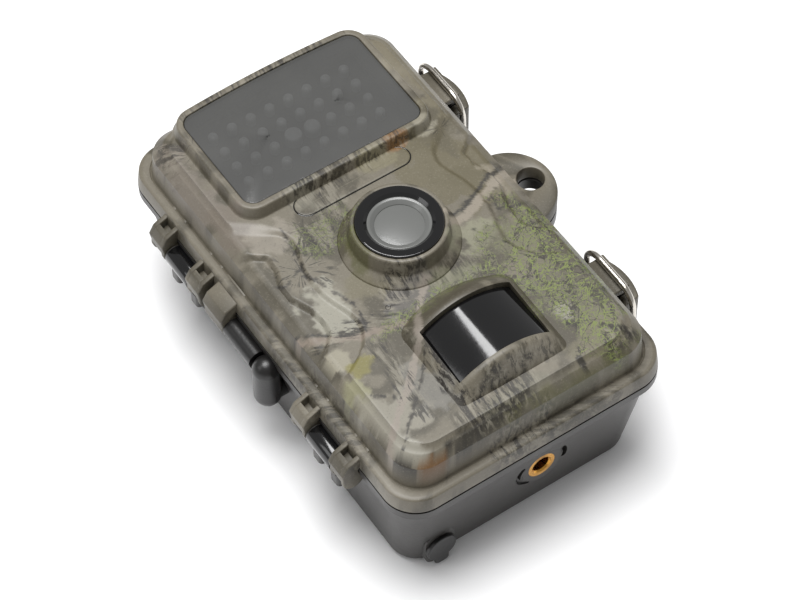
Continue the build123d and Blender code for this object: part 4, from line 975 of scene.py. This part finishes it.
@dataclass
class WindowFrame:
    """Raised frame round the lamp window, with a bowed upper side."""

    half_x: float = 28.5
    half_y: float = 17.8
    corner: float = 3.5
    centre_y: float = 43.6
    bow: float = 1.4
    floor_z: float = 53.4
    top_z: float = 59.0

    def bowed(self, rings: np.ndarray) -> np.ndarray:
        """Move the upper half outward: bow times (1 - (x / half width)^2) times its share of y.

        Args:
            rings: array of x and y about the window's centre.

        Returns:
            The same points, bowed and moved to the window's place.
        """
        across = 1 - (rings[..., 0] / (self.half_x + 4)) ** 2
        lift = self.bow * across * np.clip(rings[..., 1] / self.half_y, 0, 1)
        return np.stack([rings[..., 0], rings[..., 1] + lift + self.centre_y], -1)

    def ring(self, name: str, profile: np.ndarray, rows: Seam = Seam.LOOP) -> bpy.types.Object:
        """Carry a profile of (offset outward, height) round the window.

        Args:
            name: the piece's name.
            profile: array (points, 2).
            rows: how the profile ends.

        Returns:
            The object.
        """
        rings = rounded_rectangle(self.half_x + profile[:, 0], self.half_y + profile[:, 0],
                                  np.maximum(self.corner + profile[:, 0], 0.3), 60, 40, 10)
        flat = self.bowed(rings)
        height = np.broadcast_to(profile[:, 1][:, None], flat.shape[:2])
        return surface(name, np.concatenate([flat, height[..., None]], -1), rows, smooth_angle=35)

    def build(self) -> list[bpy.types.Object]:
        """Build the frame, the pane and the mask behind it."""
        frame_profile = rounded_path([(0.15, self.floor_z, 0), (0.15, self.top_z, 0.3),
                                      (2.1, self.top_z, 0.7),
                                      (2.9, 55.6, 0.8), (3.7, 54.6, 0.3), (3.8, self.floor_z, 0)])
        pane_profile = rounded_path([(-self.half_y, 57.1, 0), (0, 57.1, 0.1), (0, 58.75, 0.3),
                                     (-self.half_y, 58.75, 0)])
        mask_profile = np.array([(-3.1, 56.55), (0.1, 56.55), (0.1, 57.05), (-3.1, 57.05)])
        return [self.ring("window_frame", frame_profile), self.ring("window_pane", pane_profile, Seam.CAPPED),
                self.ring("window_border", mask_profile)]


@dataclass
class Turret:
    """Lens turret with its flared base, the light ring and the lens in it."""

    centre: tuple[float, float] = (0.0, -4.0)

    def build(self) -> list[bpy.types.Object]:
        """Build the turret, the inner ring and the lens."""
        wall = rounded_path([(12.1, 53.4, 0), (12.1, 63.45, 0.25), (13.35, 63.45, 0.7), (13.9, 58.0, 1.2),
                             (15.4, 56.9, 0.7), (16.6, 55.9, 0.5), (17.0, 54.6, 0.5), (17.2, 53.4, 0)], 6)
        inner = rounded_path([(8.8, 61.0, 0), (8.8, 63.3, 0.3), (7.9, 63.0, 0.3), (6.8, 62.2, 0.2),
                              (6.8, 61.0, 0)])
        bulge = np.linspace(0, 6.8, 14)
        face = np.stack([bulge[::-1], 62.5 - 0.5 * (bulge[::-1] / 6.8) ** 2], -1)
        glass = np.concatenate([[(6.8, 60.9)], face])
        return [revolve("lens_turret", wall, self.centre, 128),
                revolve("lens_inner_ring", inner, self.centre, 96),
                revolve("lens_glass", np.concatenate([[(0, 60.9)], glass]), self.centre, 96, Seam.OPEN)]


@dataclass
class Hood:
    """Arched hood round the motion sensor's window."""

    centre_y: float = -43.5
    open_x: float = 14.3
    open_y: float = 9.2
    arch: float = 23.5
    top_z: float = 64.6
    foot_x: float = 17.6
    foot_low_y: float = -57.8
    foot_high_y: float = -29.0
    foot_bow: float = 5.0

    def rim(self, x: np.ndarray, y: np.ndarray) -> np.ndarray:
        """Height of the rim: a circular arch across X that falls 1.2 mm towards the lower side."""
        arch = self.top_z - self.arch + np.sqrt(np.maximum(self.arch ** 2 - x ** 2, 1.0))
        return arch - 1.2 * np.clip((self.centre_y + self.open_y - y) / (2 * self.open_y), 0, 1.2)

    def build(self) -> bpy.types.Object:
        """Build the hood as rings between its opening and its foot."""
        offsets = np.array([0.0, 0.0, 0.0, 0.25, 0.9, 1.5, 1.9])
        corners = 0.3 + offsets * 0.6
        inner = rounded_rectangle(self.open_x + offsets, self.open_y + offsets, corners, 60, 44, 8)
        x, y = inner[..., 0], inner[..., 1] + self.centre_y
        z = self.rim(x, y)
        drops = np.array([0, 0.25, 0.06, 0.0, 0.02, 0.16, 0.5])[:, None]
        z = z - drops
        z[0] = 53.0
        z[1] -= 0.2
        foot_half = (self.foot_high_y - self.foot_low_y) / 2
        foot_size = (np.array([self.foot_x]), np.array([foot_half]), np.array([2.2]))
        foot = rounded_rectangle(*foot_size, 60, 44, 8)[0]
        fx, fy = foot[:, 0], foot[:, 1]
        fy = fy + self.foot_bow * (1 - (fx / self.foot_x) ** 2) * np.clip(fy / foot_half, 0, 1)
        fy = fy + (self.foot_high_y + self.foot_low_y) / 2
        fz = np.full_like(fx, 55.0)
        rows = [np.stack([x, y, z], -1)]
        last = rows[0][-1]
        foot_row = np.stack([fx, fy, fz], -1)
        for share in np.linspace(0, 1, 9)[1:]:
            ease_out = share ** 1.15
            row = last * (1 - share) + foot_row * share
            row[:, 2] = last[:, 2] * (1 - ease_out) + fz * ease_out
            rows.append(row[None])
        deep = foot_row.copy()
        deep[:, 2] = 53.0
        rows.append(deep[None])
        return surface("sensor_hood", np.concatenate(rows, 0), Seam.LOOP, smooth_angle=32)


@dataclass
class HingeSide:
    """Knuckles of the cover, hollow from above, and the block at the cable sleeve."""

    axis_x: float = -44.6
    axis_z: float = 33.2
    radius: float = 3.2
    width: float = 6.9
    wall: float = 1.5
    places: tuple[float, ...] = (45.0, 26.2, -26.2, -45.0)
    block: tuple[float, float] = (11.3, 20.7)

    def outline(self) -> np.ndarray:
        """Side view of a knuckle: an arm from the flange that ends in the round boss."""
        ax, az = self.axis_x, self.axis_z
        turns = np.linspace(math.radians(60), math.radians(-200), 22)
        boss = np.stack([ax - self.radius * np.cos(turns), az + self.radius * np.sin(turns)], -1)[::-1]
        lead = rounded_path([(ax + 5.4, 38.4, 0), (ax + 5.4, 43.5, 0.4), (ax - 2.0, 40.2, 1.2),
                             (ax - 3.6, 37.4, 0.8), (ax - 3.1, 34.2, 0)], 4)
        turns = np.linspace(math.radians(175), math.radians(425), 24)
        boss = np.stack([ax + self.radius * np.cos(turns), az + self.radius * np.sin(turns)], -1)
        tail = np.array([(ax + 1.5, 37.0), (ax + 1.9, 38.4)])
        return np.concatenate([lead, boss, tail])

    def build(self) -> list[bpy.types.Object]:
        """Build fins and outer skins for each knuckle, and the solid block."""
        outline = self.outline()
        parts = []
        ax = self.axis_x
        skin = rounded_path([(ax - 0.6, 40.6, 0), (ax - 2.0, 40.1, 1.2), (ax - 3.55, 37.4, 0.8),
                             (ax - 3.1, 33.4, 0.3), (ax - 1.9, 33.6, 0.2), (ax - 2.2, 37.0, 0.6),
                             (ax - 1.0, 39.0, 0.4), (ax - 0.6, 40.6, 0)], 4)[:-1]
        floor = rounded_path([(ax - 2.0, 36.3, 0), (ax + 5.0, 38.6, 0.2), (ax + 5.0, 39.8, 0.2),
                              (ax - 2.2, 37.2, 0.2), (ax - 2.0, 36.3, 0)], 3)[:-1]
        for i, place in enumerate(self.places):
            low, high = place - self.width / 2, place + self.width / 2
            parts.append(prism(f"fin_low_{i}", outline, low, low + self.wall, 0.3))
            parts.append(prism(f"fin_high_{i}", outline, high - self.wall, high, 0.3))
            parts.append(prism(f"skin_{i}", skin, low + 0.5, high - 0.5, 0.1))
            parts.append(prism(f"floor_{i}", floor, low + 0.5, high - 0.5, 0.1))
        knuckles = join("hinge_knuckles", parts, 35)
        block = prism("cable_block", outline, self.block[0], self.block[1], 0.5)
        return [knuckles, block]


@dataclass
class LatchSide:
    """Catches for the bails and the cover's leaf of the padlock ear."""

    catch_places: tuple[float, ...] = (43.0, -37.5)
    catch_half: float = 6.2
    ear_centre: tuple[float, float] = (39.8, 1.0)
    ear_hole: tuple[float, float] = (47.0, 1.0)
    ear_radius: float = 13.4
    hole_radius: float = 3.9
    ear_low: float = 38.3
    ear_high: float = 42.9

    def catches(self) -> bpy.types.Object:
        """Build both catches: a block on the flange with a lip along its outer edge."""
        outline = rounded_path([(41.6, 40.45, 0), (47.1, 40.45, 0.6), (48.0, 41.2, 0.5),
                                (48.0, 43.15, 0.3), (47.15, 43.15, 0.25), (47.0, 42.55, 0.15),
                                (44.0, 42.55, 0.4), (41.6, 42.8, 0)], 4)
        parts = [prism(f"catch_{i}", outline, y - self.catch_half, y + self.catch_half, 0.45)
                 for i, y in enumerate(self.catch_places)]
        return join("latch_catches", parts, 35)

    def ear(self) -> bpy.types.Object:
        """Build the ear: rings between an off-centre hole and a round rim, with eased edges."""
        angle = np.linspace(0, 2 * math.pi, 128, endpoint=False)
        compass = np.stack([np.cos(angle), np.sin(angle)], -1)
        rows = []
        edge = 0.5
        centre = np.array(self.ear_centre)
        top, wide = self.ear_high, self.ear_radius
        for z, radius in ((self.ear_low, wide), (top - edge, wide), (top - 0.15, wide - 0.15),
                          (top, wide - edge)):
            ring = centre + radius * compass
            rows.append(np.concatenate([ring, np.full((len(angle), 1), z)], -1))
        for gap, z in ((edge, top), (0.15, top - 0.15), (0.0, top - edge), (0.0, self.ear_low)):
            ring = np.array(self.ear_hole) + (self.hole_radius + gap) * compass
            rows.append(np.concatenate([ring, np.full((len(angle), 1), z)], -1))
        return surface("padlock_ear", np.stack(rows, 0), Seam.LOOP, smooth_angle=35)

    def build(self) -> list[bpy.types.Object]:
        """Build the catches and the ear."""
        return [self.catches(), self.ear()]


@dataclass
class Badge:
    """Blank name plate with a black bead round it, painted shade in its groove, and the port of the
    microphone.
    """

    centre: tuple[float, float] = (0.6, 19.7)
    half_x: float = 18.2
    half_y: float = 3.3
    top_z: float = 55.62
    port: tuple[float, float] = (-14.9, -20.6)

    def plate(self) -> bpy.types.Object:
        """Rings of a rounded pill from its foot, over an eased edge, to its middle line."""
        inset = np.array([0.0, 0.0, 0.08, 0.22, 0.45, 1.0, 1.8, 2.6, 3.2])
        height = np.array([53.8, -0.2, -0.08, -0.02, 0.0, 0.0, 0.0, 0.0, 0.0])
        height = np.where(inset + height > 40, height, self.top_z + height)
        rings = rounded_rectangle(self.half_x - inset, self.half_y - inset, self.half_y - inset, 80, 8, 12)
        z = np.broadcast_to(height[:, None], rings.shape[:2])
        flat = rings + np.array(self.centre)
        points = np.concatenate([flat, z[..., None]], -1)
        return surface("badge_plate_film", points, Seam.CAPPED, smooth_angle=50)

    def seam(self) -> bpy.types.Object:
        """A thin black bead carried round the pill: painted shade standing for the shadow in the groove round
        the plate.
        """
        angle = np.linspace(0, 2 * math.pi, 8, endpoint=False)
        offset = 0.12 + 0.2 * np.cos(angle)
        rings = rounded_rectangle(self.half_x + offset, self.half_y + offset, self.half_y + offset, 80, 8, 12)
        z = np.broadcast_to((self.top_z - 0.2 + 0.14 * np.sin(angle))[:, None], rings.shape[:2])
        flat = rings + np.array(self.centre)
        return surface("badge_groove_shade", np.concatenate([flat, z[..., None]], -1), Seam.LOOP)

    def hole(self) -> bpy.types.Object:
        """A shallow black cup for the microphone port, its dark middle painted shade standing for the shade
        inside the hole.
        """
        cup = np.array([(0.0, 55.2), (0.45, 55.22), (0.62, 55.4), (0.74, 55.44), (0.8, 54.9), (0.0, 54.9)])
        return revolve("microphone_port_shade", cup, self.port, 32)


@dataclass
class Lever:
    """One latch lever: a bowed plate with eased edges and two cheeks."""

    name: str
    centre_y: float
    pivot: tuple[float, float] = (47.4, 34.8)
    bail_pivot: tuple[float, float] = (46.4, 27.8)
    half: float = 7.6
    gap: float = 2.5
    thickness: float = 2.1
    bulge: float = 1.6
    above: float = 2.6
    below: float = 22.4
    edge: float = 0.55

    def plate(self) -> bpy.types.Object:
        """Plate whose section in plan is a bowed band, carried down with its ends drawn in.

        The band's outline is an outer and an inner parabola joined by eased ends; along z
        the first and last rows shrink by a quarter circle of the edge radius.
        """
        y = np.linspace(-1, 1, 41)
        bow = self.bulge * y ** 2
        nip = self.edge * (1 - np.sqrt(np.clip(1 - np.clip((np.abs(y) - 1 + self.edge / self.half)
                                                           * self.half / self.edge, 0, 1) ** 2, 0, 1)))
        outer = np.stack([self.gap + self.thickness - bow - nip, y * self.half], -1)
        inner = np.stack([self.gap - bow + nip, y * self.half], -1)[::-1]
        outline = np.concatenate([outer, inner])
        middle = np.array([self.gap + self.thickness / 2 - bow, y * self.half]).T
        spine = np.concatenate([middle, middle[::-1]])
        turns = np.linspace(0, math.pi / 2, 6)
        shrink = np.concatenate([1 - np.sin(turns), 1 - np.sin(turns[::-1])])
        drop = self.edge * (1 - np.cos(turns))
        low, high = self.pivot[1] - self.below, self.pivot[1] + self.above
        z = np.concatenate([low + drop, high - drop[::-1]])
        draw_in = (shrink * self.edge / (self.thickness / 2))[:, None, None]
        rows = outline[None] + (spine - outline)[None] * draw_in
        rows[..., 1] = rows[..., 1] * (1 - 0.06 * shrink[:, None])
        points = np.concatenate([rows[..., :1] + self.pivot[0], rows[..., 1:] + self.centre_y,
                                 np.broadcast_to(z[:, None, None], rows.shape[:2] + (1,))], -1)
        return surface(f"{self.name}_plate", points, Seam.CAPPED, smooth_angle=45)

    def cheeks(self) -> list[bpy.types.Object]:
        """Two cheeks: outlines round the pivot and the bail's end, drawn to the plate."""
        px, pz = self.pivot
        bx, bz = self.bail_pivot
        turn = np.linspace(math.radians(180), math.radians(60), 10)
        upper = np.stack([px + 2 * np.cos(turn), pz + 2 * np.sin(turn)], -1)
        turn = np.linspace(math.radians(-60), math.radians(-180), 10)
        lower = np.stack([bx + 2 * np.cos(turn), bz + 2 * np.sin(turn)], -1)
        back = np.array([(px + self.gap - 0.9, pz + 0.4), (px + self.gap - 0.9, bz - 0.4)])
        outline = np.concatenate([upper, back, lower])
        return [prism(f"{self.name}_cheek_{side}", outline, self.centre_y + low,
                      self.centre_y + low + 3.1, 0.3)
                for side, low in (("low", -self.half + 0.1), ("high", self.half - 3.2))]

    def build(self) -> bpy.types.Object:
        """Build the lever as one piece."""
        return join(self.name, [self.plate(), *self.cheeks()], 40)


@dataclass
class HingeBarrels:
    """Glossy sleeves over the case's two hinge barrels."""

    axis: tuple[float, float] = (-44.6, 33.2)
    places: tuple[float, float] = (35.6, -35.6)
    half: float = 5.55
    radius: float = 3.16

    def build(self) -> bpy.types.Object:
        """Turn a profile with eased ends about the hinge axis."""
        parts = []
        angle = np.linspace(0, 2 * math.pi, 48, endpoint=False)
        for i, middle in enumerate(self.places):
            profile = rounded_path([(1.3, -self.half, 0), (self.radius, -self.half, 0.5),
                                    (self.radius, self.half, 0.5), (1.3, self.half, 0)], 5)
            radius, along = profile[:, :1], profile[:, 1:]
            points = np.stack([self.axis[0] + radius * np.cos(angle), middle + along + 0 * angle,
                               self.axis[1] + radius * np.sin(angle)], -1)
            parts.append(surface(f"barrel_{i}", points, Seam.CAPPED))
        return join("hinge_barrels", parts)


# ------------------------------------------------------------------ stage
@dataclass
class Studio:
    """Pale floor, soft lights and the camera."""

    target: tuple[float, float, float] = (0.0, -5.0, 30.0)
    azimuth: float = -33.524
    elevation: float = 54.338
    roll: float = -0.686
    distance: float = 809.96
    lens: float = 133.0
    shift: tuple[float, float] = (-0.003, -0.0025)

    def floor(self) -> None:
        """A wide pale floor just under the camera's back."""
        bpy.ops.mesh.primitive_plane_add(size=6.0, location=(0, 0, -0.0002))
        plane = bpy.context.object
        plane.name = "floor"
        material, graph, shader = new_material("pale_floor")
        place = graph.add("TexCoord").outputs["Object"]
        tone = graph.noise(place, 3.0, 2.0)
        graph.put(shader.inputs["Base Color"], graph.mix(tone, (0.90, 0.90, 0.905), (0.915, 0.915, 0.92)))
        shader.inputs["Roughness"].default_value = 0.9
        shader.inputs["Specular IOR Level"].default_value = 0.1
        plane.data.materials.append(material)

    def light(self, name: str, place: tuple[float, float, float], size: float, power: float) -> None:
        """One square soft light aimed at the camera."""
        lamp = bpy.data.lights.new(name, "AREA")
        lamp.size = size
        lamp.energy = power
        holder = bpy.data.objects.new(name, lamp)
        holder.location = place
        aim = Vector(self.target) * MM - Vector(place)
        holder.rotation_euler = aim.to_track_quat("-Z", "Y").to_euler()
        bpy.context.scene.collection.objects.link(holder)

    def camera(self) -> None:
        """Camera on a sphere about the target, turned by its roll."""
        a, e, r = (math.radians(v) for v in (self.azimuth, self.elevation, self.roll))
        back = Vector((math.sin(a) * math.cos(e), -math.cos(a) * math.cos(e), math.sin(e)))
        side = Vector((0, 0, 1)).cross(back).normalized()
        rise = back.cross(side)
        right = side * math.cos(r) + rise * math.sin(r)
        up = rise * math.cos(r) - side * math.sin(r)
        data = bpy.data.cameras.new("camera")
        data.lens = self.lens
        data.sensor_width = 36.0
        data.shift_x, data.shift_y = self.shift
        data.clip_start = 0.01
        holder = bpy.data.objects.new("camera", data)
        turn = Matrix((right, up, back)).transposed().to_4x4()
        holder.matrix_world = Matrix.Translation((Vector(self.target) + back * self.distance) * MM) @ turn
        bpy.context.scene.collection.objects.link(holder)
        bpy.context.scene.camera = holder

    def build(self) -> None:
        """Set the stage."""
        self.floor()
        self.light("overhead_softbox", (-0.05, 0.12, 1.15), 0.7, 17.0)
        self.light("left_softbox", (-0.9, 0.25, 0.7), 0.5, 1.5)
        bpy.context.scene.view_settings.view_transform = "Standard"
        world = bpy.data.worlds.new("studio")
        world.use_nodes = True
        world.node_tree.nodes["Background"].inputs["Color"].default_value = (1, 1, 1, 1)
        world.node_tree.nodes["Background"].inputs["Strength"].default_value = 0.38
        bpy.context.scene.world = world
        self.camera()


# ------------------------------------------------------------------ assembly
def place(pieces: list[bpy.types.Object], finishes: Finishes, slot: str, body: str, *nodes: str) -> None:
    """Dress pieces in a finish, ride them on a body and let them stand for CAD nodes.

    Args:
        pieces: the new pieces.
        finishes: every finish.
        slot: the finish's slot.
        body: the body they move with.
        nodes: the nodes they stand for, if any.
    """
    for piece in pieces:
        finishes.dress(piece, slot)
        if slot in ("camo_plastic", "badge"):
            finishes.camouflage.lay(piece)
        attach(piece, body)
        if nodes:
            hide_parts(*nodes)
        LOG.info("%s: %d faces", piece.name, len(piece.data.polygons))


def main() -> None:
    """Build every piece in order."""
    logging.basicConfig(level=logging.INFO, format="%(name)s: %(message)s")
    finishes = Finishes()
    for row in frame["record"]["subparts"]:
        node = frame["nodes"][row["node"]]
        finishes.dress(node, row["material_slot"])
    cover = [CoverSkin().build(), Hood().build(), *HingeSide().build(), *LatchSide().build()]
    frame_ring, pane, border = WindowFrame().build()
    turret, inner_ring, glass = Turret().build()
    badge = Badge()
    place([*cover, frame_ring, turret], finishes, "camo_plastic", "cover", "front_cover")
    place([pane], finishes, "smoked_window", "cover", "lamp_window")
    place([border], finishes, "black_matte", "cover", "window_mask")
    place([inner_ring, glass], finishes, "lens_grey", "cover", "lens_window")
    place([badge.plate()], finishes, "badge", "cover", "badge_plate")
    # Black plastic bead round the badge and cup at the microphone: painted shade in the groove and in the
    # hole.
    place([badge.seam(), badge.hole()], finishes, "black_plastic", "cover")
    for name, centre_y in (("upper", 43.0), ("lower", -37.5)):
        lever = Lever(f"{name}_lever_plate", centre_y).build()
        place([lever], finishes, "camo_plastic", f"{name}_lever", f"{name}_latch_lever")
    place([HingeBarrels().build()], finishes, "black_plastic", "root")
    Studio().build()


if __name__ == "__main__":
    main()
